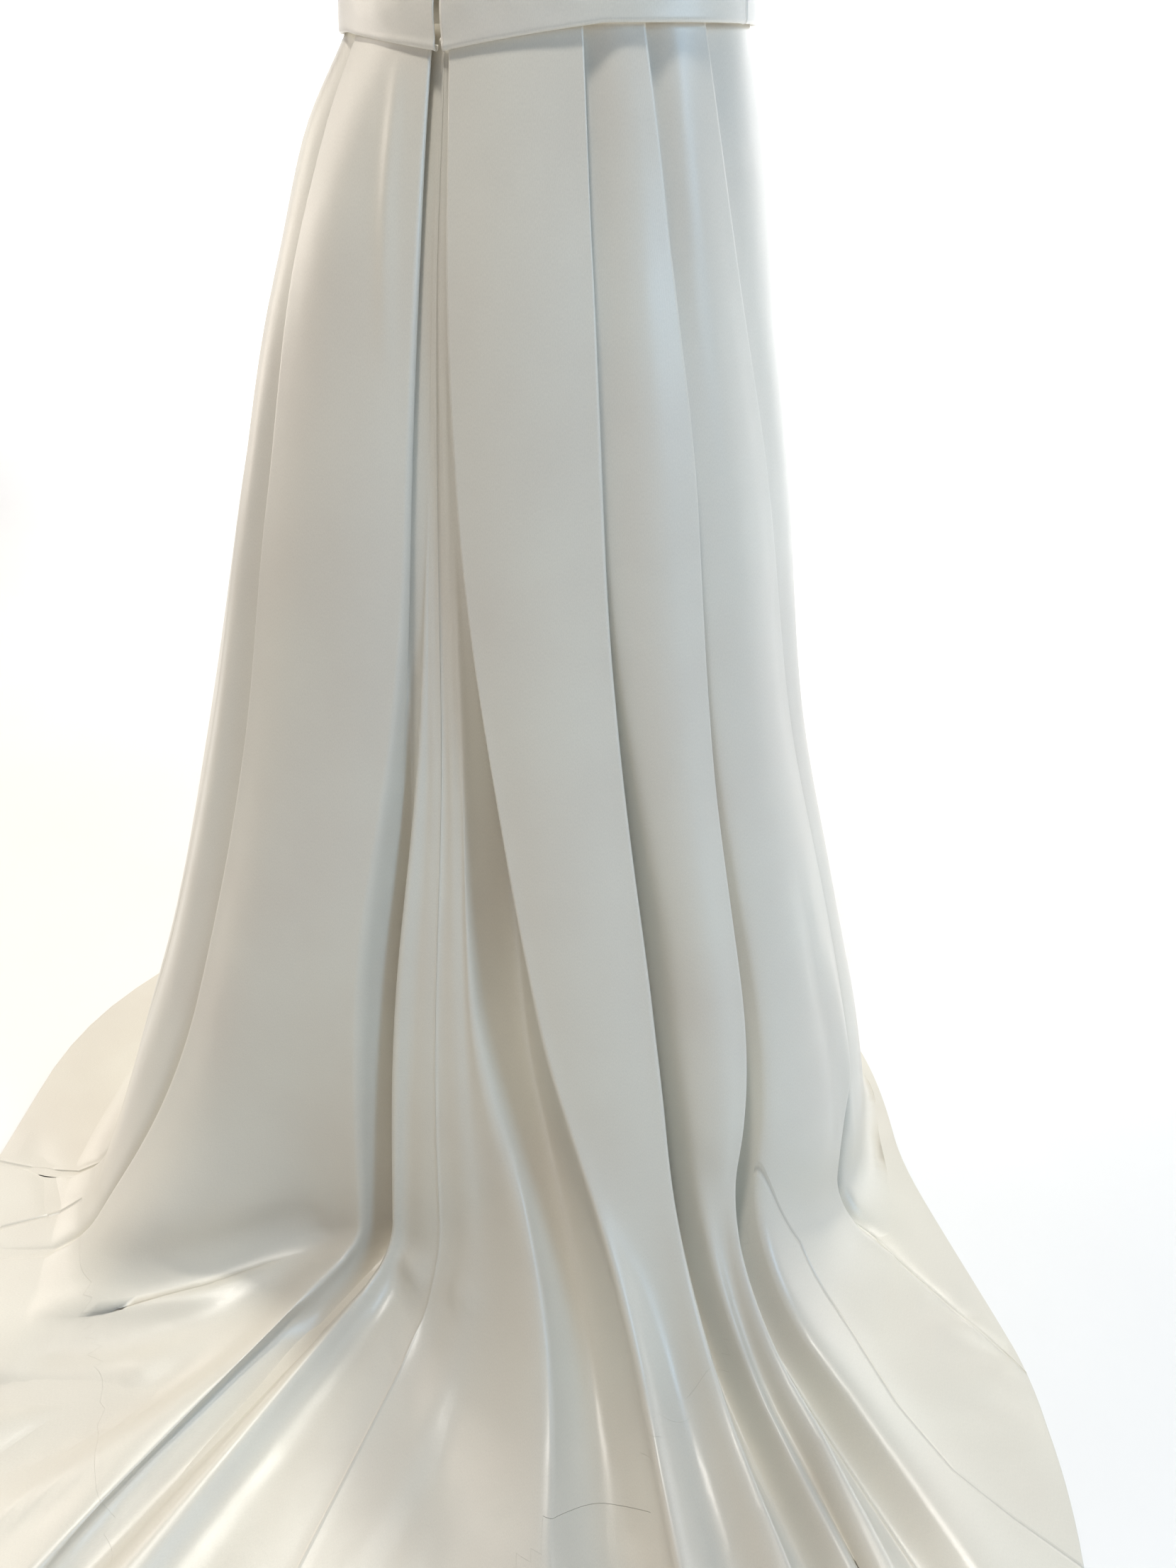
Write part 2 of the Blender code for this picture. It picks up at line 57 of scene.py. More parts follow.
# %% Camera behind the waist, looking down
CAMERA_PLACE = (-0.54016, 0.80689, -0.029)
CAMERA_HEADING = 392.31
CAMERA_PITCH = 31.0
CAMERA_ROLL = -0.73
CAMERA_LENS = 27.03
FILM_HEIGHT = 36.0
NEAREST_SEEN = 0.02


def add_camera():
    heading = math.radians(CAMERA_HEADING)
    pitch = math.radians(CAMERA_PITCH)
    roll = math.radians(CAMERA_ROLL)
    level = math.cos(pitch)
    forward = Vector((math.sin(heading) * level, -math.cos(heading) * level, -math.sin(pitch)))
    right = forward.cross(Vector((0, 0, 1))).normalized()
    up = right.cross(forward)
    rolled_right = right * math.cos(roll) + up * math.sin(roll)
    rolled_up = up * math.cos(roll) - right * math.sin(roll)
    data = bpy.data.cameras.new("camera")
    data.lens = CAMERA_LENS
    data.sensor_width = FILM_HEIGHT
    data.clip_start = NEAREST_SEEN
    camera = bpy.data.objects.new("camera", data)
    bpy.context.scene.collection.objects.link(camera)
    turned = Matrix((rolled_right, rolled_up, -forward)).transposed()
    camera.matrix_world = Matrix.Translation(CAMERA_PLACE) @ turned.to_4x4()
    bpy.context.scene.camera = camera
    return forward


print("camera looks along", [round(v, 3) for v in add_camera()])

# %% [markdown]
# ## A smooth curve through a few measures
# Pattern makers join a few measured points with a smooth line that never bulges past them.
# A steady cubic does the same, so a short table of measures gives the whole shape. Directions
# run in degrees from the centre back round by the wearer's right.

# %% Steady curves and directions round the waist
def steady_curve(knots, values, at):
    knots = np.asarray(knots, float)
    at = np.clip(np.atleast_1d(np.asarray(at, float)), knots[0], knots[-1])
    values = np.asarray(values, float)
    if values.ndim == 1:
        values = np.repeat(values[:, None], len(at), axis=1)
    steps = np.diff(knots)[:, None]
    slopes = np.diff(values, axis=0) / steps
    bends = np.zeros_like(values)
    bends[0] = slopes[0]
    bends[-1] = slopes[-1]
    same_way = slopes[:-1] * slopes[1:] > 0
    first = np.where(same_way, slopes[:-1], 1.0)
    second = np.where(same_way, slopes[1:], 1.0)
    before = 2 * steps[1:] + steps[:-1]
    after = steps[1:] + 2 * steps[:-1]
    bends[1:-1] = np.where(same_way, (before + after) / (before / first + after / second), 0.0)
    k = np.clip(np.searchsorted(knots, at, side="right") - 1, 0, len(knots) - 2)
    n = np.arange(len(at))
    step = steps[k, 0]
    t = (at - knots[k]) / step
    start = values[k, n] * (1 + 2 * t) * (1 - t) ** 2 + bends[k, n] * step * t * (1 - t) ** 2
    end = values[k + 1, n] * t * t * (3 - 2 * t) - bends[k + 1, n] * step * t * t * (1 - t)
    return start + end


def point_at(direction, radius, height):
    """Directions are degrees from the centre back (+Y) round by the wearer's right (-X)."""
    turn = np.radians(direction)
    return np.stack([-radius * np.sin(turn), radius * np.cos(turn), height + 0 * turn], axis=-1)


def wrapped(direction):
    return (np.asarray(direction, float) + 90.0) % 360.0 - 90.0


print("curve check:", steady_curve((0, 1, 2), (0, 1, 0), [0.5, 1.0, 1.5]).round(3))

# %% [markdown]
# ## The skirt's outline
# The skirt falls from the waist to the floor and runs out into the train. A table gives the
# radius at seven heights in eleven directions, and another gives the hem on the floor. These are
# the same measures as the solid's, so the cloth lies on it.

# %% Outline of the skirt and of its hem
WAIST_HALF_WIDTH = 0.150
WAIST_HALF_DEPTH = 0.111
WAIST_TO_FLOOR = 1.000
SOLID_CLOTH = 1.2 * MM
OUTLINE_DIRECTIONS = (-90, -60, -40, -26, -14, 5, 36, 75, 112, 180, 270)
OUTLINE_RADII = (
    # height, then a radius for each direction
    (-0.06, 0.173, 0.173, 0.155, 0.142, 0.131, 0.124, 0.133, 0.153, 0.156, 0.129, 0.173),
    (-0.15, 0.192, 0.207, 0.195, 0.177, 0.158, 0.142, 0.150, 0.161, 0.169, 0.147, 0.192),
    (-0.30, 0.238, 0.263, 0.246, 0.224, 0.200, 0.165, 0.168, 0.183, 0.192, 0.177, 0.238),
    (-0.50, 0.295, 0.322, 0.302, 0.273, 0.237, 0.195, 0.200, 0.215, 0.218, 0.215, 0.295),
    (-0.70, 0.352, 0.385, 0.370, 0.338, 0.283, 0.240, 0.250, 0.270, 0.264, 0.255, 0.352),
    (-0.85, 0.400, 0.435, 0.436, 0.396, 0.308, 0.275, 0.294, 0.312, 0.301, 0.280, 0.400),
    (-1.00, 0.445, 0.480, 0.505, 0.530, 0.322, 0.305, 0.312, 0.332, 0.327, 0.305, 0.445),
)
FLOOR_BEND_RADII = (0.040, 0.030, 0.030, 0.035, 0.014, 0.060, 0.220, 0.085, 0.012, 0.004, 0.040)
HEM = (
    (-90, 0.515), (-78, 0.580), (-63, 0.600), (-50, 0.604), (-40, 0.665), (-28, 0.800),
    (-14, 1.000), (0, 1.200), (12, 1.300), (20, 1.320), (28, 1.250), (40, 1.040), (52, 0.860),
    (62, 0.728), (72, 0.625), (80, 0.540), (90, 0.440), (100, 0.372), (121, 0.345),
    (150, 0.330), (180, 0.322), (210, 0.372), (240, 0.450), (270, 0.515),
)


def ellipse_radius(direction, half_width, half_depth):
    turn = np.radians(direction)
    return 1.0 / np.hypot(np.sin(turn) / half_width, np.cos(turn) / half_depth)


def outline_radius(direction, height):
    around = np.atleast_1d(wrapped(direction))
    height = np.atleast_1d(height) + 0.0 * around
    around = around + 0.0 * height
    heights = [0.0] + [-row[0] for row in OUTLINE_RADII]
    radii = [ellipse_radius(around, WAIST_HALF_WIDTH, WAIST_HALF_DEPTH)]
    radii += [steady_curve(OUTLINE_DIRECTIONS, row[1:], around) for row in OUTLINE_RADII]
    radius = steady_curve(heights, np.array(radii), -height)
    bend = steady_curve(OUTLINE_DIRECTIONS, FLOOR_BEND_RADII, around)
    above = np.clip(height + WAIST_TO_FLOOR, 0.0, bend)
    return radius + bend * (1.0 - np.sqrt(np.clip(1.0 - (1.0 - above / bend) ** 2, 0.0, 1.0)))


def hem_radius(direction):
    directions, radii = zip(*HEM)
    return steady_curve(directions, radii, wrapped(direction))


print("floor radius at the centre back:", outline_radius(5.0, -1.0).round(3))

# %% [markdown]
# ## The folds
# Knife pleats are laid at the waist and open on their way down. Each fold is seven guide
# lines: the run up to the edge, the edge, under it, the return, the inner fold, and the roll
# on to the next panel. Placing folds this way keeps each one where the dress has it,
# which a cloth simulation wouldn't.

# %% Guide lines of the pleats, panels and front flutes
PLEAT_LEVELS = (0.0, 0.30, 0.70, 1.0, 2.0)
PLEATS = (
    # name, way the edge looks, then direction, depth mm and gap mm at five levels, height on floor mm
    ("side_left", -1, (-77, -84, -90, -92, -88), (7, 8, 12, 12, 4), (2, 4, 12, 14, 16), 6),
    ("outer_left", -1, (-61, -43, -42, -43, -47), (7.6, 8.4, 9, 8, 3), (2, 4, 9, 10, 5), 2.5),
    ("inner_left", -1, (-44.5, -33, -31.2, -33, -38), (7, 8, 9, 8, 3), (2, 4, 9, 12, 16), 2.5),
    ("left_opening", 1, (-4.9, -3.6, -7.9, -6, -3), (7, 13, 44, 30, 6), (2, 5, 16, 24, 60), 34),
    ("right_opening", -1, (2.4, 9.0, 27.4, 41, 41.5), (7, 15, 66, 48, 10), (2, 8, 56, 84, 120), 44),
    ("inner_right", 1, (45.1, 45.2, 49.6, 50, 49), (6, 13, 60, 46, 10), (2, 4, 17, 30, 70), 40),
    ("outer_right", 1, (60.9, 68.6, 67, 58, 56), (6, 10, 36, 34, 8), (2, 4, 18, 36, 80), 42),
    ("side_right", 1, (77.2, 94.5, 100, 84.5, 80), (6, 8, 20, 18, 2.5), (2, 4, 16, 18, 4), 3),
)
OVERLAP = (15.0, 13.0, 6.0, 0.0, 0.0)
OPENNESS = (0.0, 0.25, 0.85, 1.0, 1.0)
EDGE_RUN = (3.0, 4.0, 8.0, 12.0, 20.0)
TIGHT_TURNS = ("edge", "under_edge", "return", "inner_fold")
STRIP = (
    ("strip_left", (-2.1, -0.7, -0.6, 1.2, 5), (7.1, 10, 14, 8, 0), 2),
    ("left_rib", (-1.6, 0.6, 2.6, 6.2, 9), (7.1, 7.5, 10, 3, 0), 5),
    ("seam", (-1.1, 1.9, 6.2, 12.0, 15.5), (7.1, 10, 13, 6, 0), 2),
    ("right_rib", (-0.6, 3.2, 9.2, 16.5, 21), (7.1, 7.5, 11, 3, 0), 5),
    ("strip_right", (-0.1, 4.4, 11.8, 21, 29), (7.1, 10, 15, 7, 0), 2),
)
PANEL_BULGE = (0.0, 2.0, 7.0, 2.0, 0.0)
PANEL_GUIDES = {
    "side_left": 1, "outer_left": 1, "inner_left": 5,
    "right_opening": 4, "inner_right": 1, "outer_right": 2,
}
FLUTE_DEPTH = (0.0, 2.0, 13.0, 9.0, 0.0)
FLUTE_GUIDES = 17


def fold_guides(pleat):
    name, faces, directions, depths, gaps, tall = pleat
    levels = -WAIST_TO_FLOOR * np.minimum(PLEAT_LEVELS, 1.0)
    radii = outline_radius(np.array(directions, float), levels)
    radii[-1] = hem_radius(directions[-1])[0]
    per_mm = np.degrees(MM / radii)
    depths = np.array(depths, float)
    gaps = np.array(gaps, float)
    opened = np.array(OPENNESS)
    edge_run = np.array(EDGE_RUN)
    back = gaps * 0.35 * opened - np.array(OVERLAP) * (1.0 - opened)
    fold = (
        ("edge_run", -edge_run, 0 * depths, 0.9),
        ("edge", 0 * gaps, 0 * depths, 1.0),
        ("under_edge", 0 * gaps, depths * 0.46, 0.5),
        ("return", back, depths * (0.54 + 0.40 * opened**2), 0.0),
        ("inner_fold", back + gaps * 0.3 * opened, depths, 0.0),
        ("next_roll", gaps, depths * (1.02 - 0.60 * opened), 0.5),
        ("next_panel", gaps + edge_run * 0.8, depths * (1.02 - 0.95 * opened), 0.8),
    )
    guides = []
    for part, beyond, depth, share in fold:
        guides.append((name + "_" + part, directions + faces * beyond * per_mm, depth, tall * share))
    return guides if faces > 0 else guides[::-1]


def panel_guides(name, before, after, count):
    guides = []
    for k in range(1, count + 1):
        share = k / (count + 1)
        crown = math.sin(math.pi * share)
        around = np.array(before[1]) + (np.array(after[1]) - before[1]) * share
        depth = np.array(before[2]) + (np.array(after[2]) - before[2]) * share
        depth = depth * (1 - crown) - np.array(PANEL_BULGE) * crown
        tall = (before[3] + (after[3] - before[3]) * share) * (1 - 0.6 * crown)
        guides.append((f"{name}_{k}", around, depth, tall))
    return guides


def flute_guides(before, after):
    guides = []
    for k in range(1, FLUTE_GUIDES + 1):
        share = k / (FLUTE_GUIDES + 1)
        around = np.array(before[1]) + (np.array(after[1]) + 360 - before[1]) * share
        wave = 1.0 if k % 2 == 0 else -1.0
        fade = min(1.0, 3 * share, 3 * (1 - share))
        uneven = 1.0 + 0.35 * math.sin(2.4 * k)
        guides.append((f"front_{k}", around, np.array(FLUTE_DEPTH) * wave * fade * uneven, 0.0))
    return guides


def all_guides():
    folds = [fold_guides(pleat) for pleat in PLEATS]
    guides = list(folds[0])
    for k in range(1, len(folds)):
        name = PLEATS[k - 1][0]
        if name in PANEL_GUIDES:
            guides += panel_guides(name + "_panel", folds[k - 1][-1], folds[k][0], PANEL_GUIDES[name])
        else:
            guides += STRIP
        guides += folds[k]
    return guides + flute_guides(folds[-1][-1], folds[0][0])


GUIDES = all_guides()
print("guide lines round the skirt:", len(GUIDES))

# %% [markdown]
# ## From guide lines to cloth
# Each guide line runs from the waist to the floor and out to the hem. Rounded rings through
# the guide lines give the cloth's middle surface. Rows are close together at the waist, where
# the skirt meets the floor and at the hem, because the cloth turns most there.

# %% The skirt's middle surface
ROWS = np.concatenate([
    np.linspace(0.0, 0.03, 6)[:-1],
    np.linspace(0.03, 0.80, 66)[:-1],
    np.linspace(0.80, 1.0, 32)[:-1],
    np.linspace(1.0, 1.94, 66)[:-1],
    np.linspace(1.94, 2.0, 10),
])
TIGHT_SAMPLES = 8
OPEN_SAMPLES = 5


def guide_line(guide, rows):
    _, directions, depths, tall = guide
    landing = outline_radius(directions[3], -WAIST_TO_FLOOR)[0]
    hem = hem_radius(directions[4])[0]
    direction = steady_curve(PLEAT_LEVELS, directions, rows)
    depth = MM * steady_curve(PLEAT_LEVELS, depths, rows)
    run = np.maximum(rows - 1.0, 0.0)
    level = -WAIST_TO_FLOOR * np.minimum(rows, 1.0)
    height = level + tall * MM * np.minimum(rows, 1.0) ** 2 * (1.0 - run) ** 0.7
    hanging = outline_radius(direction, level) - depth
    lying = landing + (hem - landing) * run - depth * (1.0 - run) ** 2
    radius = np.where(run > 0, lying, hanging)
    return point_at(direction, radius, height + SOLID_CLOTH / 2)


def skirt_surface():
    lines = np.array([guide_line(guide, ROWS) for guide in GUIDES])
    columns = {}
    rings = []
    for k, guide in enumerate(GUIDES):
        columns[guide[0]] = len(rings)
        before = (lines[k - 1] + lines[k]) / 2
        after = (lines[k] + lines[(k + 1) % len(GUIDES)]) / 2
        count = TIGHT_SAMPLES if guide[0].endswith(TIGHT_TURNS) else OPEN_SAMPLES
        for step in range(count):
            t = (step + 0.5) / count
            rings.append((1 - t) ** 2 * before + 2 * t * (1 - t) * lines[k] + t * t * after)
    return np.array(rings).transpose(1, 0, 2), columns


SKIRT, COLUMN = skirt_surface()
print("skirt surface:", SKIRT.shape[0], "rows of", SKIRT.shape[1], "points")

# %% [markdown]
# ## Cloth as a thin shell
# A sheet with no thickness looks like paper at its edges and lets light through its seams.
# Each panel is made as a thin closed shell: the middle surface moved out and in along its
# own normal, with the rims joined. A seam is where two panels meet, so near a cut edge the
# cloth is drawn in a little, as stitching does.

# %% Building a panel
OUTER_FACE = 0.60 * MM
INNER_FACE = -0.35 * MM
SEAM_PULL = 0.9 * MM
SEAM_REACH = 1.6 * MM
SEAM_TRIM = 0.10 * MM
SEAM_COLUMNS = (0.4 * MM, 1.0 * MM, 1.8 * MM, 3.0 * MM)
NO_SEAM_NEAR = 0.5
FLOOR = -WAIST_TO_FLOOR


def grid_normals(surface, closed):
    along = np.gradient(surface, axis=0)
    if closed:
        around = (np.roll(surface, -1, axis=1) - np.roll(surface, 1, axis=1)) / 2
    else:
        around = np.gradient(surface, axis=1)
    normals = np.cross(around, along)
    length = np.linalg.norm(normals, axis=2, keepdims=True)
    return normals / np.maximum(length, 1e-12)


def with_seam_columns(grid):
    """Adds close columns at both cut edges, so that a seam can be drawn in sharply."""
    for edge in (0, -1):
        near = grid[:, 0] if edge == 0 else grid[:, -1]
        step = (grid[:, 1] if edge == 0 else grid[:, -2]) - near
        reach = np.maximum(np.linalg.norm(step[:, :3], axis=1), 1e-9)
        extra = []
        for k, away in enumerate(SEAM_COLUMNS):
            share = np.minimum(away / reach, (k + 1) * 0.2)
            extra.append(near + step * share[:, None])
        if edge == 0:
            grid = np.concatenate([grid[:, :1], np.stack(extra, axis=1), grid[:, 1:]], axis=1)
        else:
            grid = np.concatenate([grid[:, :-1], np.stack(extra[::-1], axis=1), grid[:, -1:]], axis=1)
    return grid


def edge_distance(surface):
    """How far each point is, along its row, from the nearer cut edge."""
    steps = np.linalg.norm(np.diff(surface, axis=1), axis=2)
    from_left = np.concatenate([np.zeros((len(surface), 1)), np.cumsum(steps, axis=1)], axis=1)
    return np.minimum(from_left, from_left[:, -1:] - from_left), from_left


def shell(name, surface, normals, outer, inner, material, floor=None):
    rows, columns = surface.shape[:2]
    outside = surface + normals * np.asarray(outer)[..., None]
    inside = surface + normals * np.asarray(inner)[..., None]
    if floor is not None:
        outside[..., 2] = np.maximum(outside[..., 2], floor + (OUTER_FACE - INNER_FACE))
        inside[..., 2] = np.maximum(inside[..., 2], floor)
    points = np.concatenate([outside.reshape(-1, 3), inside.reshape(-1, 3)])
    index = np.arange(rows * columns).reshape(rows, columns)
    a, b, c, d = index[:-1, :-1], index[:-1, 1:], index[1:, 1:], index[1:, :-1]
    half = rows * columns
    top, low = index[0], index[-1]
    left, right = index[:, 0], index[:, -1]
    quads = [
        np.stack([a, b, c, d], axis=-1).reshape(-1, 4),
        np.stack([a, d, c, b], axis=-1).reshape(-1, 4) + half,
        np.stack([top[:-1], top[:-1] + half, top[1:] + half, top[1:]], axis=-1),
        np.stack([low[:-1], low[1:], low[1:] + half, low[:-1] + half], axis=-1),
        np.stack([left[:-1], left[1:], left[1:] + half, left[:-1] + half], axis=-1),
        np.stack([right[:-1], right[:-1] + half, right[1:] + half, right[1:]], axis=-1),
    ]
    mesh = bpy.data.meshes.new(name)
    mesh.from_pydata(points.tolist(), [], np.concatenate(quads).tolist())
    mesh.update()
    mesh.shade_smooth()
    across = edge_distance(surface)[1]
    steps_down = np.linalg.norm(np.diff(surface, axis=0), axis=2)
    down = np.concatenate([np.zeros((1, columns)), np.cumsum(steps_down, axis=0)])
    weave = np.stack([across, down, 0 * down], axis=-1).reshape(-1, 3)
    layer = mesh.attributes.new("weave", "FLOAT_VECTOR", "POINT")
    layer.data.foreach_set("vector", np.concatenate([weave, weave]).ravel())
    if floor is not None:
        line = seam_line_distance(surface).ravel()
    else:
        line = np.full(rows * columns, NO_SEAM_NEAR)
    layer = mesh.attributes.new("seam_line", "FLOAT", "POINT")
    layer.data.foreach_set("value", np.concatenate([line, line]))
    mesh.materials.append(material)
    piece = bpy.data.objects.new(name, mesh)
    bpy.context.scene.collection.objects.link(piece)
    return piece


def cloth_area(surface):
    across = surface[:-1, 1:] - surface[:-1, :-1]
    along = surface[1:, :-1] - surface[:-1, :-1]
    return float(np.linalg.norm(np.cross(across, along), axis=2).sum())


def sheet_sizes(surface):
    widths = np.linalg.norm(np.diff(surface, axis=1), axis=2).sum(axis=1)
    lengths = np.linalg.norm(np.diff(surface, axis=0), axis=2).sum(axis=0)
    return widths.min(), widths.max(), lengths.max()


# %% [markdown]
# ## Satin
# Satin is a weave of long floats, so it has a broad soft highlight, and close up a fine even
# grain. The colour is a warm ivory that varies a little. Here the grain follows the cloth,
# through a measure stored on each panel, and a slow cloudiness changes colour and gloss. Near a
# seam line on the train the colour is darkened, as painted shade in the seam's groove.

# %% Satin, zip cloth, metal and pearl materials
IVORY = (0.78, 0.750, 0.665, 1.0)
IVORY_DEEP = (0.745, 0.700, 0.620, 1.0)
BAND_IVORY = (0.81, 0.775, 0.705, 1.0)
# the zip's dark brown is partly the tape's own colour and partly painted shade of the narrow opening in
# front of it
TAPE_BROWN_AND_SHADE = (0.42, 0.34, 0.26, 1.0)
TAPE_DEEP_BROWN_AND_SHADE = (0.30, 0.24, 0.18, 1.0)
METAL = (0.74, 0.71, 0.65, 1.0)
METAL_DEEP = (0.55, 0.52, 0.47, 1.0)
PEARL = (0.88, 0.84, 0.78, 1.0)
PEARL_DEEP = (0.80, 0.74, 0.68, 1.0)
SATIN_ROUGHNESS = 0.33
SATIN_SPECULAR = 0.85
SATIN_SHEEN = 0.10
SHEEN_TINT = (1.0, 0.97, 0.92, 1.0)
CLOUD_SIZE = 7.0
GLOSS_SIZE = 22.0
HANDLED_SIZE = 34.0
GRAIN_SIZE = 1500.0
WEAVE_SIZE = 420.0
WEAVE_RELIEF = 0.06 * MM
GRAIN_RELIEF = 0.10 * MM
HANDLED_RELIEF = 1.6 * MM
GROOVE_RELIEF = 1.2 * MM


class Nodes:
    """Short names for the few node steps that every material here takes."""

    def __init__(self, name):
        self.material = bpy.data.materials.new(name)
        self.material.use_nodes = True
        self.tree = self.material.node_tree
        self.shader = self.tree.nodes["Principled BSDF"]

    def add(self, kind, **settings):
        node = self.tree.nodes.new(kind)
        for key, value in settings.items():
            if key in node.inputs:
                node.inputs[key].default_value = value
            else:
                setattr(node, key, value)
        return node

    def join(self, source, output, target, socket):
        self.tree.links.new(source.outputs[output], target.inputs[socket])

    def place(self, attribute=None, scale=(1, 1, 1)):
        mapping = self.add("ShaderNodeMapping")
        mapping.inputs["Scale"].default_value = scale
        if attribute:
            source = self.add("ShaderNodeAttribute", attribute_name=attribute)
            self.join(source, "Vector", mapping, "Vector")
        else:
            source = self.add("ShaderNodeTexCoord")
            self.join(source, "Object", mapping, "Vector")
        return mapping

    def noise(self, where, scale, detail=2.0, roughness=0.5):
        node = self.add("ShaderNodeTexNoise", Scale=scale, Detail=detail, Roughness=roughness)
        self.join(where, "Vector", node, "Vector")
        return node

    def two_tone(self, source, low, high, colour, deep):
        tint = self.span(source, "Fac", low, high, 0.0, 1.0)
        shade = self.add("ShaderNodeMix", data_type="RGBA")
        shade.inputs[6].default_value = colour
        shade.inputs[7].default_value = deep
        self.join(tint, "Result", shade, 0)
        return shade

    def span(self, source, output, low, high, to_low, to_high):
        node = self.add("ShaderNodeMapRange")
        node.inputs["From Min"].default_value = low
        node.inputs["From Max"].default_value = high
        node.inputs["To Min"].default_value = to_low
        node.inputs["To Max"].default_value = to_high
        self.join(source, output, node, "Value")
        return node

    def bump(self, source, output, distance, strength, below=None):
        node = self.add("ShaderNodeBump")
        node.inputs["Distance"].default_value = distance
        node.inputs["Strength"].default_value = strength
        self.join(source, output, node, "Height")
        if below:
            self.join(below, "Normal", node, "Normal")
        return node


def satin(name, colour, deep, roughness):
    made = Nodes(name)
    cloth = made.place("weave")
    cloud = made.noise(made.place(), CLOUD_SIZE, 3.0)
    shade = made.two_tone(cloud, 0.35, 0.70, colour, deep)
    grain = made.noise(made.place("weave", (1.0, 0.35, 1.0)), GRAIN_SIZE, 2.0, 0.6)
    fleck = made.span(grain, "Fac", 0.30, 0.70, 0.955, 1.03)
    scaled = made.add("ShaderNodeMix", data_type="RGBA", blend_type="MULTIPLY")
    scaled.inputs[0].default_value = 1.0
    made.tree.links.new(shade.outputs[2], scaled.inputs[6])
    made.join(fleck, "Result", scaled, 7)
    line = made.add("ShaderNodeAttribute", attribute_name="seam_line")
    away = made.add("ShaderNodeMath", operation="ABSOLUTE")
    made.tree.links.new(line.outputs["Fac"], away.inputs[0])
    groove = made.span(away, "Value", 0.0002, 0.0022, 0.0, 1.0)
    # painted shade: the ivory is darkened down to 0.8 close to a seam line, standing for the shade in
    # the seam's groove
    seam_shade = made.span(away, "Value", 0.0001, 0.0012, 0.80, 1.0)
    seam_shaded = made.add("ShaderNodeMix", data_type="RGBA", blend_type="MULTIPLY")
    seam_shaded.inputs[0].default_value = 1.0
    made.tree.links.new(scaled.outputs[2], seam_shaded.inputs[6])
    made.join(seam_shade, "Result", seam_shaded, 7)
    made.tree.links.new(seam_shaded.outputs[2], made.shader.inputs["Base Color"])
    gloss = made.noise(made.place(None, (1.0, 1.0, 0.4)), GLOSS_SIZE, 3.0)
    rough = made.span(gloss, "Fac", 0.3, 0.7, roughness - 0.05, roughness + 0.06)
    made.join(rough, "Result", made.shader, "Roughness")
    weave = made.add("ShaderNodeTexWave", Scale=WEAVE_SIZE, Distortion=1.2, Detail=1.0)
    made.join(cloth, "Vector", weave, "Vector")
    fine = made.bump(weave, "Fac", WEAVE_RELIEF, 0.35)
    grained = made.bump(grain, "Fac", GRAIN_RELIEF, 0.5, fine)
    soft = made.noise(made.place(None, (1.0, 1.0, 0.3)), HANDLED_SIZE, 2.0)
    handled = made.bump(soft, "Fac", HANDLED_RELIEF, 0.30, grained)
    stitched = made.bump(groove, "Result", GROOVE_RELIEF, 0.9, handled)
    made.join(stitched, "Normal", made.shader, "Normal")
    made.shader.inputs["Specular IOR Level"].default_value = SATIN_SPECULAR
    made.shader.inputs["Sheen Weight"].default_value = SATIN_SHEEN
    made.shader.inputs["Sheen Roughness"].default_value = 0.45
    made.shader.inputs["Sheen Tint"].default_value = SHEEN_TINT
    return made.material


def plain_finish(name, colour, deep, roughness, metallic, scale, bump):
    made = Nodes(name)
    spots = made.noise(made.place(), scale, 3.0)
    shade = made.two_tone(spots, 0.35, 0.65, colour, deep)
    made.tree.links.new(shade.outputs[2], made.shader.inputs["Base Color"])
    rough = made.span(spots, "Fac", 0.3, 0.7, roughness - 0.06, roughness + 0.06)
    made.join(rough, "Result", made.shader, "Roughness")
    relief = made.bump(spots, "Fac", bump, 0.6)
    made.join(relief, "Normal", made.shader, "Normal")
    made.shader.inputs["Metallic"].default_value = metallic
    return made.material


SATIN = satin("ivory_satin", IVORY, IVORY_DEEP, SATIN_ROUGHNESS)
BAND_SATIN = satin("band_satin", BAND_IVORY, IVORY, SATIN_ROUGHNESS)
# painted shade: the zip tape and teeth are made dark brown partly to stand for the shade inside the
# centre back opening
ZIP_BROWN_AND_SHADE = plain_finish("zip_cloth", TAPE_BROWN_AND_SHADE, TAPE_DEEP_BROWN_AND_SHADE, 0.75, 0.0, 1600.0, 0.0001)
ZIP_METAL = plain_finish("zip_metal", METAL, METAL_DEEP, 0.32, 1.0, 700.0, 0.00002)
PEARL_FINISH = plain_finish("pearl", PEARL, PEARL_DEEP, 0.22, 0.0, 90.0, 0.00001)
print("materials:", [m.name for m in (SATIN, BAND_SATIN, ZIP_BROWN_AND_SHADE, ZIP_METAL, PEARL_FINISH)])

# %% [markdown]
# ## Creases that the hand would find
# Between the folds a hung skirt has soft troughs and ridges of its own, and the train has
# swells where the cloth lies over itself. Each one is a row in a table: how deep, how wide,
# and the few points that it runs through. A point of the cloth near the line is moved along
# its normal, less and less with distance.

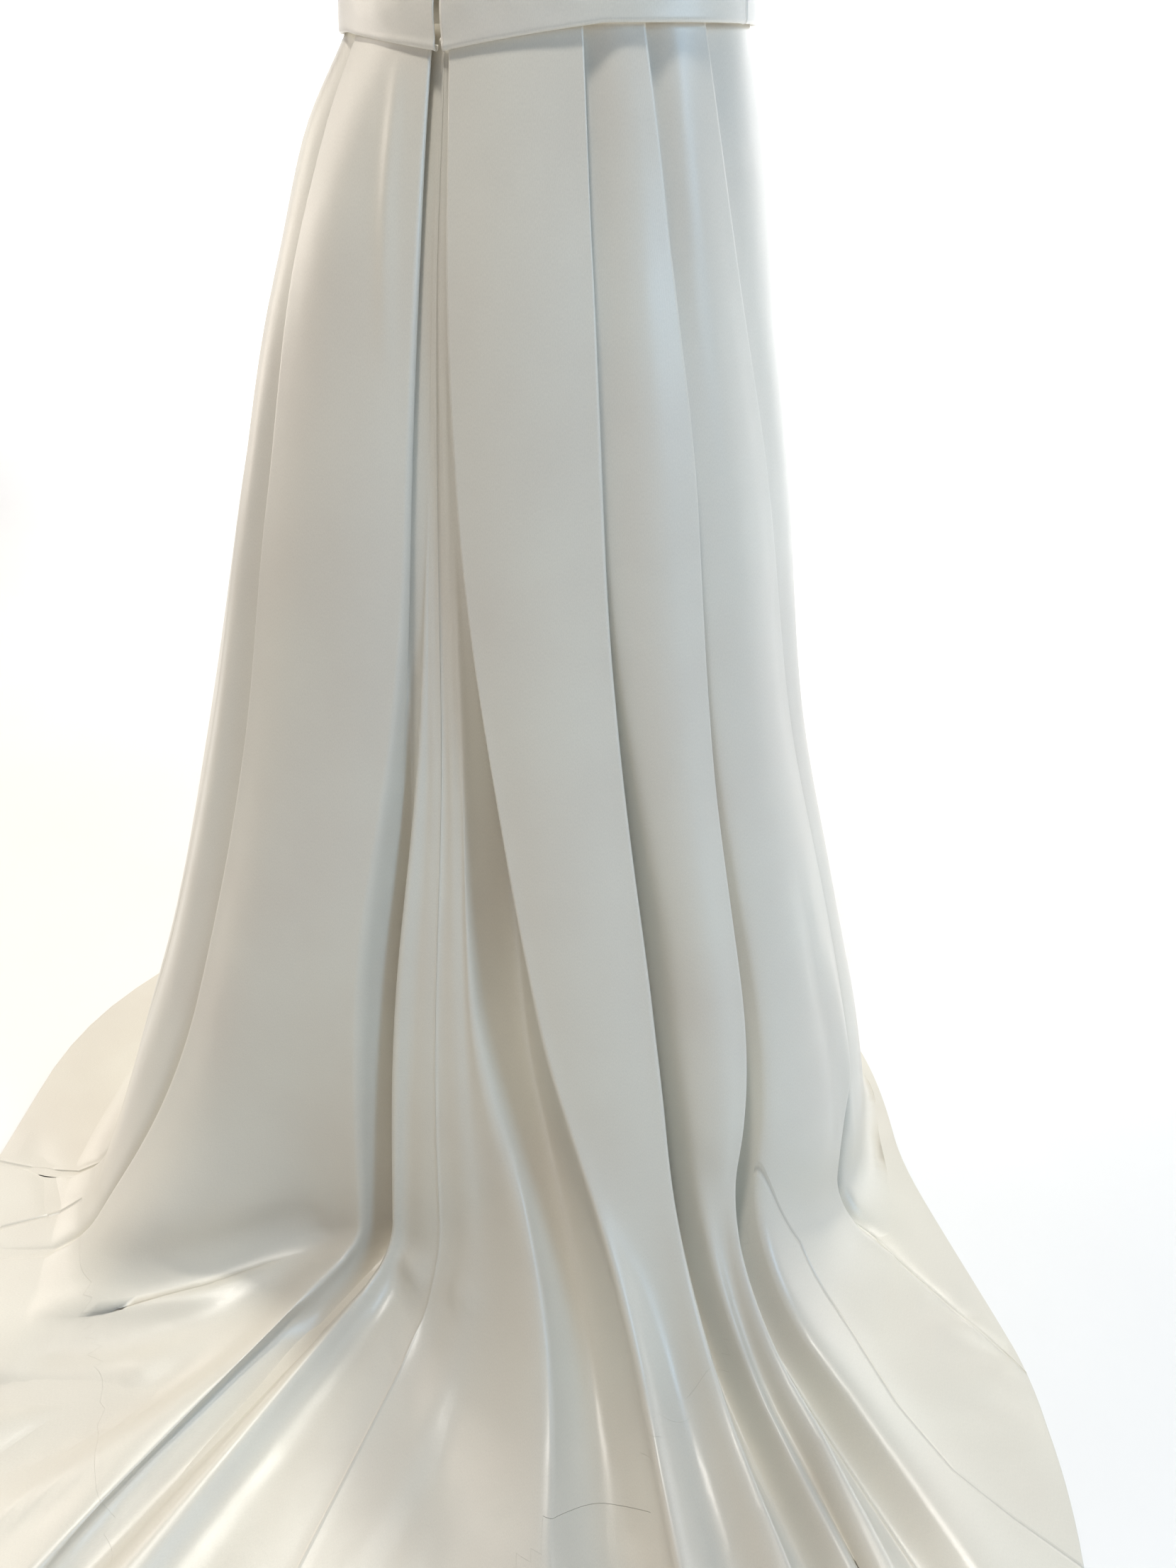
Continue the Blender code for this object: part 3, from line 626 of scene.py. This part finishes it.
# %% Soft creases and swells
CREASES = (
    # height mm (in is minus), half width mm, points x y z in mm along it
    (-2.6, 6, ((35, 117, -20), (34, 139, -105), (28, 163, -201))),
    (2.2, 13, ((52, 112, -40), (60, 136, -130), (66, 164, -240))),
    (8, 26, ((262, 470, -968), (197, 440, -965), (145, 386, -962), (109, 340, -958), (82, 306, -950))),
    (-8, 13, ((262, 506, -996), (192, 462, -996), (131, 415, -996), (102, 366, -996), (84, 320, -996))),
    (9, 20, ((230, 545, -999), (165, 492, -999), (113, 440, -999), (77, 389, -999), (60, 350, -999))),
    (17, 24, ((46, 372, -992), (72, 438, -992), (102, 500, -992), (136, 562, -992), (180, 640, -992))),
    (9, 15, ((128, 500, -995), (176, 545, -995), (232, 585, -995), (290, 600, -995))),
    (-16, 9, ((52, 430, -992), (63, 481, -992), (72, 533, -992), (94, 589, -992), (122, 650, -992))),
    (9, 13, ((36, 390, -980), (42, 450, -980), (45, 495, -980), (49, 547, -980), (50, 640, -985))),
    (-6, 10, ((-2, 302, -969), (-22, 303, -968), (-42, 306, -967))),
    (5, 13, ((-8, 322, -985), (-30, 326, -985), (-56, 324, -980))),
    (-5, 9, ((-20, 352, -997), (-44, 350, -997), (-68, 338, -990))),
    (-5, 8, ((-73, 306, -956), (-92, 310, -954), (-110, 308, -946))),
    (3, 12, ((-118, 350, -992), (-142, 417, -996), (-156, 500, -996), (-160, 600, -996))),
    (4, 11, ((-175, 345, -975), (-223, 400, -992), (-262, 470, -992), (-290, 560, -992))),
    (2.5, 16, ((60, 700, -998), (110, 820, -998), (130, 960, -998))),
    (-4, 15, ((-272, -18, -700), (-304, -12, -833), (-330, -20, -960))),
    (3, 10, ((-252, 12, -600), (-285, 20, -760), (-318, 30, -900))),
    (2, 13, ((-455, 108, -998), (-485, 94, -998), (-512, 82, -998))),
    (2, 12, ((-480, 158, -998), (-520, 141, -998), (-560, 132, -998))),
    (1.5, 11, ((-430, 80, -998), (-460, 66, -998), (-486, 50, -998))),
    (3, 9, ((330, 430, -998), (380, 400, -998), (440, 384, -998))),
    (3.5, 12, ((400, 300, -998), (450, 250, -998), (500, 220, -998))),
)
SEAM_LINES = (
    # points x y in mm along a seam of the train
    ((-276, 124), (-323, 112), (-380, 138), (-445, 187), (-502, 214), (-553, 222), (-615, 228)),
    ((372, 466), (345, 433), (322, 400)),
)
RIB_RISE = 1.8
RIB_HALF_WIDTH = 2.4
RIB_LEVELS = (-0.03, -0.12, -0.22, -0.34, -0.48)


def rib_creases():
    """The two narrow folds in the strip at the centre back stand out a little more."""
    ribs = []
    for name, directions, depths, _ in STRIP:
        if name.endswith("rib"):
            heights = np.array(RIB_LEVELS)
            around = steady_curve(PLEAT_LEVELS, directions, -heights)
            sunk = MM * steady_curve(PLEAT_LEVELS, depths, -heights)
            points = point_at(around, outline_radius(around, heights) - sunk, heights) / MM
            ribs.append((RIB_RISE, RIB_HALF_WIDTH, points))
    return ribs


def crease_moves(surface):
    moved = np.zeros(surface.shape[:2])
    for depth, half_width, points in list(CREASES) + rib_creases():
        line = np.array(points, float) * MM
        best = np.full(surface.shape[:2], 1e9)
        share_at_best = np.zeros(surface.shape[:2])
        for k in range(len(line) - 1):
            span = line[k + 1] - line[k]
            share = np.clip(((surface - line[k]) @ span) / (span @ span), 0.0, 1.0)
            away = np.linalg.norm(surface - (line[k] + share[..., None] * span), axis=2)
            nearer = away < best
            best = np.where(nearer, away, best)
            share_at_best = np.where(nearer, (k + share) / (len(line) - 1), share_at_best)
        fade = np.sin(np.pi * np.clip(share_at_best, 0.0, 1.0)) ** 0.5
        moved += depth * MM * fade * np.exp(-((best / (half_width * MM)) ** 2))
    return moved


def seam_line_distance(surface):
    """Signed distance, seen from above, to the nearest seam line, or NO_SEAM_NEAR."""
    flat = surface[..., :2]
    nearest = np.full(surface.shape[:2], NO_SEAM_NEAR)
    for line in SEAM_LINES:
        line = np.array(line, float) * MM
        best = np.full(surface.shape[:2], 1e9)
        signed = np.full(surface.shape[:2], NO_SEAM_NEAR)
        for k in range(len(line) - 1):
            span = line[k + 1] - line[k]
            share = ((flat - line[k]) @ span) / (span @ span)
            gap = flat - (line[k] + np.clip(share, 0.0, 1.0)[..., None] * span)
            away = np.linalg.norm(gap, axis=2)
            side = np.sign(span[0] * gap[..., 1] - span[1] * gap[..., 0])
            past_end = (share < 0) & (k == 0) | (share > 1) & (k == len(line) - 2)
            value = side * np.where(past_end, NO_SEAM_NEAR, away)
            signed = np.where(away < best, value, signed)
            best = np.minimum(best, away)
        nearest = np.where(np.abs(signed) < np.abs(nearest), signed, nearest)
    return nearest


def slow_waves(surface, amount, size, seed):
    flat = surface.reshape(-1, 3)
    shift = Vector((seed * 7.3, seed * 3.1, seed * 5.7))
    waves = [noise.noise(Vector((x / size, y / size, z / (2.2 * size))) + shift) for x, y, z in flat]
    return amount * np.array(waves).reshape(surface.shape[:2])


# %% [markdown]
# ## The skirt panels
# The skirt is five panels. They are joined at the centre back, down the middle of the strip
# between the two big pleats, and inside the folds at the sides, where a seam is hidden until
# the cloth opens on the floor.

# %% Skirt panels
SKIRT_PANELS = (
    # name, from guide, to guide, widest measure, longest measure and area of the flat cut in metres
    ("skirt_back_right", "seam", "outer_right_inner_fold", 1.08, 2.00, 0.86),
    ("skirt_side_right", "outer_right_inner_fold", "side_right_inner_fold", 0.34, 1.44, 0.20),
    ("skirt_front", "side_right_inner_fold", "side_left_inner_fold", 1.38, 1.25, 0.82),
    ("skirt_side_left", "side_left_inner_fold", "outer_left_inner_fold", 0.45, 1.19, 0.31),
    ("skirt_back_left", "outer_left_inner_fold", "seam", 1.24, 1.99, 0.76),
)
LIFTED_FROM_FLOOR = 0.10
WAIST_FADE = 0.12
# waves of the cloth: how high, how long, and which ones
HANGING_WAVES = (2.6 * MM, 0.11, 1)
LYING_WAVES = (3.0 * MM, 0.16, 2)


def skirt_panels():
    normals = grid_normals(SKIRT, closed=True)
    whole = np.concatenate([SKIRT, normals], axis=2)
    for name, start, end, width, length, area in SKIRT_PANELS:
        first = COLUMN[start]
        span = (COLUMN[end] - first) % SKIRT.shape[1]
        picked = [(first + k) % SKIRT.shape[1] for k in range(span + 1)]
        grid = with_seam_columns(whole[:, picked])
        surface = grid[..., :3].copy()
        outward = grid[..., 3:] / np.linalg.norm(grid[..., 3:], axis=2, keepdims=True)
        near, across = edge_distance(surface)
        for edge, within in ((0, 2), (-1, -3)):
            inward = surface[:, within] - surface[:, edge]
            surface[:, edge] += inward / np.linalg.norm(inward, axis=1, keepdims=True) * SEAM_TRIM
        lifted = np.clip((surface[..., 2] - FLOOR) / LIFTED_FROM_FLOOR, 0.0, 1.0)
        waist = np.clip(-surface[..., 2] / WAIST_FADE, 0.0, 1.0)
        moved = crease_moves(surface)
        moved += slow_waves(surface, *HANGING_WAVES) * waist * lifted
        moved += slow_waves(surface, *LYING_WAVES) * (1 - lifted)
        seam = -SEAM_PULL * np.exp(-((near / SEAM_REACH) ** 2)) * np.minimum(1.0, waist + 0.3)
        surface = surface + outward * (moved + seam)[..., None]
        outer = OUTER_FACE + 0 * near
        inner = INNER_FACE + 0 * near
        piece = shell(name + "_cloth", surface, outward, outer, inner, SATIN, FLOOR)
        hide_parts(name)
        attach(piece, "root")
        measured = [round(float(v), 3) for v in sheet_sizes(surface)]
        print(name, "area", round(cloth_area(surface), 3), "widths and length", measured)


skirt_panels()

# %% [markdown]
# ## The waistband
# The waistband is a doubled strip of satin that stands proud of the pleats. Its lower edge is
# a soft roll, it dips to a point at the centre back, and lies in faint level wrinkles. Its
# section is drawn as one loop, out over the face, round the roll and up behind.

# %% Waistband
BAND_HEIGHT = 0.058
BAND_LAP = 0.6 * MM
BAND_POINT = 0.0132
BAND_POINT_SPREAD = 50.0
BAND_STANDS_OUT = 2.2 * MM
BAND_CLEARANCE = 0.8 * MM
BAND_CLOTH = 2.0 * MM
BAND_OPENING = 2.6 * MM
BODICE_OPENING = 1.6 * MM
BAND_ROLL = 2.2 * MM
BAND_WRINKLE = 0.55 * MM
WAISTBANDS = (
    # name, first and last direction, columns
    ("waistband_back_right", "opening", 90.0, 90),
    ("waistband_front", 90.0, 270.0, 130),
    ("waistband_back_left", 270.0, "opening", 90),
)


def band_drop(direction):
    away = np.abs((direction + 180.0) % 360.0 - 180.0)
    return BAND_POINT * np.maximum(0.0, 1.0 - away / BAND_POINT_SPREAD)


def body_radius(direction, height):
    """The bodice and waistband's radius, a plain fitted shape on a general figure."""
    heights = (-0.02, 0.0, 0.055, 0.10, 0.17, 0.25, 0.34)
    wide = steady_curve(heights, (0.151, 0.150, 0.143, 0.140, 0.146, 0.156, 0.158), height)
    back = steady_curve(heights, (0.112, 0.111, 0.103, 0.100, 0.106, 0.112, 0.110), height)
    front = steady_curve(heights, (0.112, 0.111, 0.104, 0.102, 0.112, 0.132, 0.122), height)
    deep = np.where(np.cos(np.radians(direction)) > 0, back, front)
    return ellipse_radius(direction, wide, deep)


def band_face(direction, height, share):
    """Radius of the band's outer face; share runs from 0 at the top to 1 at the lower edge."""
    puff = BAND_STANDS_OUT * (0.6 + 0.9 * np.sin(np.pi * np.minimum(share * 0.75, 1.0)))
    face = body_radius(direction, height) + puff
    skirt = outline_radius(direction, np.minimum(height, 0.0)) + SOLID_CLOTH / 2 + BAND_CLEARANCE
    low = np.clip((BAND_LAP + 0.012 - height) / 0.012, 0.0, 1.0)
    return np.maximum(face, face + (skirt - face) * low) + BAND_CLOTH


def band_edge(wanted, at_low, at_top):
    opening = np.degrees(np.array([at_low, at_top]) / WAIST_HALF_DEPTH)
    return (opening[0], opening[1]) if wanted == "opening" else (wanted, wanted)


def band_strip(name, start, end, columns):
    shares = np.concatenate([np.linspace(0.0, 0.9, 26), np.linspace(0.93, 1.0, 5)])
    low_start, top_start = band_edge(start, BAND_OPENING, BODICE_OPENING)
    low_end, top_end = band_edge(end, BAND_OPENING, BODICE_OPENING)
    if end == "opening":
        low_end, top_end = 360.0 - low_end, 360.0 - top_end
    across = np.linspace(0.0, 1.0, columns + 1)
    rows = []
    for share in shares:
        first = top_start + (low_start - top_start) * share
        last = top_end + (low_end - top_end) * share
        direction = first + (last - first) * across
        low = -band_drop(direction) - BAND_LAP + BAND_ROLL
        height = BAND_HEIGHT + (low - BAND_HEIGHT) * share
        wave = np.sin(direction * 0.21 + 9 * share) + 0.7 * np.sin(direction * 0.47 - 15 * share + 1.3)
        level = np.sin(np.pi * share) * np.sin(3.5 * np.pi * share + 0.9 * np.sin(direction * 0.09))
        wrinkle = BAND_WRINKLE * (0.5 * wave * np.sin(np.pi * share) + level)
        rows.append(point_at(direction, band_face(direction, height, share) + wrinkle, height))
    # the roll under the lower edge, then the hidden back of the band
    direction_low = low_start + (low_end - low_start) * across
    height_low = -band_drop(direction_low) - BAND_LAP + BAND_ROLL
    face_low = band_face(direction_low, height_low, 1.0)
    for turn in np.radians((25, 50, 75, 100, 125, 150)):
        sink = BAND_ROLL * np.sin(turn)
        back = BAND_CLOTH / 2 * (1 - np.cos(turn))
        rows.append(point_at(direction_low, face_low - back, height_low - sink))
    rows.append(point_at(direction_low, face_low - BAND_CLOTH, height_low + 0.5 * MM))
    return np.array(rows)


def waistband_pieces():
    for name, start, end, columns in WAISTBANDS:
        surface = band_strip(name, start, end, columns)
        normals = grid_normals(surface, closed=False)
        near = edge_distance(surface)[0]
        turned = -0.5 * MM * np.exp(-((near / (1.2 * MM)) ** 2))
        surface = surface + normals * turned[..., None]
        piece = shell(name + "_cloth", surface, normals, 0.0 * near, -0.8 * MM + 0 * near, BAND_SATIN)
        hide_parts(name)
        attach(piece, "root")


waistband_pieces()

# %% [markdown]
# ## The bodice
# Above the waistband the gown is a plain strapless bodice of five panels, fitted by its seams.
# It is drawn from the same few radii as the solid. The neck edge is turned over and stitched,
# so it is a little thicker there.

# %% Bodice
BODICE_CLOTH = 1.5 * MM
BODICE_LOW = BAND_HEIGHT + 0.3 * MM
BODICE_PANELS = (
    # name, first and last direction, columns
    ("bodice_back_right", "opening", 68.0, 44),
    ("bodice_side_right", 68.0, 118.0, 34),
    ("bodice_front", 118.0, 242.0, 90),
    ("bodice_side_left", 242.0, 292.0, 34),
    ("bodice_back_left", 292.0, "opening", 44),
)
NECK_TURN = 9 * MM
NECK_TURN_THICKER = 0.35 * MM
NECK_STITCH_SINK = 0.45 * MM
NECK_ROLL = 0.7 * MM
WAIST_PULL = 0.5 * MM
BODICE_SEAM_PULL = 0.8 * MM
BODICE_WAVES = (1.0 * MM, 0.06, 5)


def bodice_top(direction):
    away = np.abs((direction + 180.0) % 360.0 - 180.0)
    return steady_curve((0.0, 60.0, 100.0, 150.0, 180.0), (0.225, 0.237, 0.270, 0.330, 0.318), away)


def bodice_pieces():
    opening = math.degrees(BODICE_OPENING / WAIST_HALF_DEPTH)
    shares = np.concatenate([[0.0, 0.004, 0.010, 0.02], np.linspace(0.035, 1.0, 54)])
    for name, start, end, columns in BODICE_PANELS:
        first = opening if start == "opening" else start
        last = 360.0 - opening if end == "opening" else end
        direction = np.linspace(first, last, columns + 1)
        top = bodice_top(direction)
        height = top[None] + (BODICE_LOW - top)[None] * shares[:, None]
        around = np.repeat(direction[None], len(shares), axis=0)
        radius = body_radius(around.ravel(), height.ravel()).reshape(height.shape) + BODICE_CLOTH
        grid = with_seam_columns(point_at(around, radius, height))
        normals = grid_normals(grid, closed=False)
        near = edge_distance(grid)[0]
        for edge, within in ((0, 2), (-1, -3)):
            inward = grid[:, within] - grid[:, edge]
            grid[:, edge] += inward / np.linalg.norm(inward, axis=1, keepdims=True) * SEAM_TRIM
        bearing = np.degrees(np.arctan2(-grid[..., 0], grid[..., 1]))
        from_neck = bodice_top(bearing.ravel()).reshape(near.shape) - grid[..., 2]
        stitch_line = np.exp(-(((from_neck - NECK_TURN) / (0.8 * MM)) ** 2))
        turn = NECK_TURN_THICKER * (from_neck < NECK_TURN) - NECK_STITCH_SINK * stitch_line
        roll = -NECK_ROLL * np.exp(-((from_neck / (0.9 * MM)) ** 2))
        waist = np.clip(1.0 - (grid[..., 2] - BODICE_LOW) / 0.07, 0.0, 1.0)
        pull = WAIST_PULL * waist * np.sin(-bearing * 0.42)
        seam = -BODICE_SEAM_PULL * np.exp(-((near / SEAM_REACH) ** 2))
        moved = turn + roll + seam + pull + slow_waves(grid, *BODICE_WAVES)
        surface = grid + normals * moved[..., None]
        piece = shell(name + "_cloth", surface, normals, 0.0 * near, -1.2 * MM + 0 * near, SATIN)
        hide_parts(name)
        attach(piece, "root")


bodice_pieces()

# %% [markdown]
# ## The zip
# A woven tape lies behind the centre back opening, and two rows of small moulded teeth close
# down its middle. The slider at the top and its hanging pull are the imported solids, which get
# a metal finish, because the pull swings on the slider's catch.

# %% Zip tape, teeth and finish of the slider
TAPE_WIDTH = 0.016
TAPE_TOP = 0.223
TAPE_BOTTOM = 0.016
TAPE_GAP = 0.7 * MM
TAPE_THICK = 0.8 * MM
TOOTH_PITCH = 1.7 * MM
TEETH_TOP = 0.207
TEETH_BOTTOM = 0.017
# a tooth's four corners on the tape and at its crest: across, out and up, in mm
TOOTH_FOOT = ((-0.2, 0.0, 0.45), (1.5, 0.0, 0.62), (1.5, 0.0, -0.62), (-0.2, 0.0, -0.45))
TOOTH_CREST = ((-0.1, 0.7, 0.22), (1.2, 0.85, 0.34), (1.2, 0.85, -0.34), (-0.1, 0.7, -0.22))
TOOTH_FACES = ((0, 3, 2, 1), (4, 5, 6, 7), (0, 1, 5, 4), (1, 2, 6, 5), (2, 3, 7, 6), (3, 0, 4, 7))


def zip_tape():
    half = math.degrees(TAPE_WIDTH / 2 / WAIST_HALF_DEPTH)
    direction = np.linspace(-half, half, 25)
    height = np.linspace(TAPE_TOP, TAPE_BOTTOM, 120)
    around = np.repeat(direction[None], len(height), axis=0)
    up = np.repeat(height[:, None], len(direction), axis=1)
    radius = body_radius(around.ravel(), up.ravel()).reshape(up.shape) - TAPE_GAP
    ribs = 0.08 * MM * np.sin(around / half * math.pi * 5)
    surface = point_at(around, radius + ribs, up)
    normals = grid_normals(surface, closed=False)
    piece = shell("zip_tape_cloth", surface, normals, 0 * up, -TAPE_THICK + 0 * up, ZIP_BROWN_AND_SHADE)
    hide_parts("zip_tape")
    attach(piece, "root")


def zip_teeth():
    """Small rounded teeth, left and right in turn, standing on the tape."""
    points = []
    faces = []
    count = int((TEETH_TOP - TEETH_BOTTOM) / TOOTH_PITCH)
    for k in range(count):
        for side in (-1, 1):
            height = TEETH_BOTTOM + (k + (0.5 if side > 0 else 0.0)) * TOOTH_PITCH
            out = float(body_radius(0.0, height)[0]) - TAPE_GAP
            base = len(points)
            for x, y, z in TOOTH_FOOT + TOOTH_CREST:
                points.append((side * x * MM, out + y * MM, height + z * MM))
            for quad in TOOTH_FACES:
                ordered = quad if side > 0 else quad[::-1]
                faces.append([base + q for q in ordered])
    mesh = bpy.data.meshes.new("zip_teeth")
    mesh.from_pydata(points, [], faces)
    mesh.update()
    mesh.materials.append(ZIP_BROWN_AND_SHADE)
    piece = bpy.data.objects.new("zip_teeth", mesh)
    bpy.context.scene.collection.objects.link(piece)
    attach(piece, "root")
    return piece


zip_tape()
TEETH = zip_teeth()
for node in ("zip_slider", "zip_pull"):
    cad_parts[node].data.materials[0] = ZIP_METAL
print("zip teeth faces:", len(TEETH.data.polygons))

# %% [markdown]
# ## The pearl at the point
# One small pearl sits on the skirt at the lower end of the zip, where the waistband dips to
# its point. It is turned from a round profile, with a flat back where it is sewn on.

# %% Pearl
PEARL_RADIUS = 2.3 * MM
PEARL_CUT = math.pi * 0.82
PEARL_PLACE = (0.0005, 0.1115, -0.0088)


def pearl(place):
    steps = 24
    rings = 14
    points = [(0.0, PEARL_RADIUS, 0.0)]
    for j in range(1, rings):
        turn = PEARL_CUT * j / (rings - 1)
        for i in range(steps):
            spin = 2 * math.pi * i / steps
            wide = PEARL_RADIUS * math.sin(turn)
            points.append((wide * math.sin(spin), PEARL_RADIUS * math.cos(turn), wide * math.cos(spin)))
    points.append((0.0, PEARL_RADIUS * math.cos(PEARL_CUT), 0.0))
    faces = []
    for i in range(steps):
        n = (i + 1) % steps
        faces.append((0, 1 + i, 1 + n))
        for j in range(rings - 2):
            a = 1 + j * steps
            faces.append((a + i, a + steps + i, a + steps + n, a + n))
        last = 1 + (rings - 2) * steps
        faces.append((last + i, len(points) - 1, last + n))
    mesh = bpy.data.meshes.new("point_pearl")
    mesh.from_pydata(points, [], faces)
    mesh.update()
    mesh.shade_smooth()
    mesh.materials.append(PEARL_FINISH)
    piece = bpy.data.objects.new("point_pearl", mesh)
    piece.location = place
    bpy.context.scene.collection.objects.link(piece)
    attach(piece, "root")


pearl(PEARL_PLACE)
print("pearl at", PEARL_PLACE)

# %% [markdown]
# ## Floor and light
# A plain pale floor carries on behind the dress and curves up into a backdrop. A large warm light
# stands at one side and a cooler one at the other, as a lamp and a window would, so that each fold
# has a warm and a cool slope. Two small lights hang above: the one in front of the dress throws the
# skirt's shadow on the train, and the one over the train brightens the cloth that lies on the floor.
# A wide light keeps the backdrop white.

# %% Floor and lights
FLOOR_COLOUR = (0.94, 0.93, 0.925, 1.0)
FLOOR_FLAT = 3.2
FLOOR_CURVE = 2.2
FLOOR_CURVE_STEPS = 12
FLOOR_SPINS = 64
ROOM_COLOUR = (0.93, 0.95, 1.0, 1.0)
ROOM_STRENGTH = 0.08
LIGHTS = (
    # name, place, what it points at, size across and high, power, colour
    ("warm_side", (2.1, 0.30, 0.30), (0.0, 0.1, -0.45), 0.8, 1.6, 14.0, (1.0, 0.91, 0.82)),
    ("cool_side", (-2.1, 0.30, 0.55), (0.0, 0.1, -0.5), 0.5, 1.4, 16.0, (0.42, 0.70, 1.0)),
    ("high_front", (0.42, -0.62, 2.5), (0.05, 0.55, -1.0), 0.16, 0.16, 44.0, (1.0, 0.97, 0.88)),
    ("over", (-0.10, 0.65, 2.4), (-0.10, 0.80, -1.0), 0.3, 0.3, 46.0, (1.0, 0.96, 0.90)),
    ("backdrop", (0.6, -2.4, 2.6), (0.7, -5.6, 0.5), 5.0, 1.6, 430.0, (1.0, 1.0, 1.0)),
)


def floor_sheet():
    """A wide round floor whose far edge curves up into a plain backdrop."""
    profile = [(0.0, 0.0), (2.0, 0.0), (FLOOR_FLAT, 0.0)]
    for k in range(1, FLOOR_CURVE_STEPS + 1):
        turn = math.pi / 2 * k / FLOOR_CURVE_STEPS
        out = FLOOR_FLAT + FLOOR_CURVE * math.sin(turn)
        profile.append((out, FLOOR_CURVE * (1 - math.cos(turn))))
    points = [(0.0, 0.0, 0.0)]
    for radius, height in profile[1:]:
        for i in range(FLOOR_SPINS):
            spin = 2 * math.pi * i / FLOOR_SPINS
            points.append((radius * math.cos(spin), radius * math.sin(spin), height))
    faces = [(0, 1 + i, 1 + (i + 1) % FLOOR_SPINS) for i in range(FLOOR_SPINS)]
    for j in range(len(profile) - 2):
        for i in range(FLOOR_SPINS):
            a = 1 + j * FLOOR_SPINS
            n = (i + 1) % FLOOR_SPINS
            faces.append((a + i, a + FLOOR_SPINS + i, a + FLOOR_SPINS + n, a + n))
    mesh = bpy.data.meshes.new("floor")
    mesh.from_pydata(points, [], faces)
    mesh.shade_smooth()
    made = Nodes("pale_floor")
    speck = made.noise(made.place(), 3.0, 4.0)
    deep = tuple(0.98 * v for v in FLOOR_COLOUR[:3]) + (1.0,)
    shade = made.two_tone(speck, 0.3, 0.7, FLOOR_COLOUR, deep)
    made.tree.links.new(shade.outputs[2], made.shader.inputs["Base Color"])
    made.shader.inputs["Roughness"].default_value = 0.8
    mesh.materials.append(made.material)
    floor = bpy.data.objects.new("floor", mesh)
    floor.location = (0.0, 0.0, FLOOR - 0.5 * MM)
    bpy.context.scene.collection.objects.link(floor)


def add_light(name, place, aim, wide, high, power, colour):
    data = bpy.data.lights.new(name, "AREA")
    data.shape = "RECTANGLE"
    data.size = wide
    data.size_y = high
    data.energy = power
    data.color = colour
    light = bpy.data.objects.new(name, data)
    light.location = place
    light.rotation_euler = (Vector(aim) - Vector(place)).to_track_quat("-Z", "Y").to_euler()
    bpy.context.scene.collection.objects.link(light)


def add_surroundings():
    world = bpy.data.worlds.new("soft_room")
    world.use_nodes = True
    background = world.node_tree.nodes["Background"]
    background.inputs["Color"].default_value = ROOM_COLOUR
    background.inputs["Strength"].default_value = ROOM_STRENGTH
    bpy.context.scene.world = world


floor_sheet()
for row in LIGHTS:
    add_light(*row)
add_surroundings()
bpy.context.scene.view_settings.view_transform = "Standard"
print("lights:", [row[0] for row in LIGHTS])
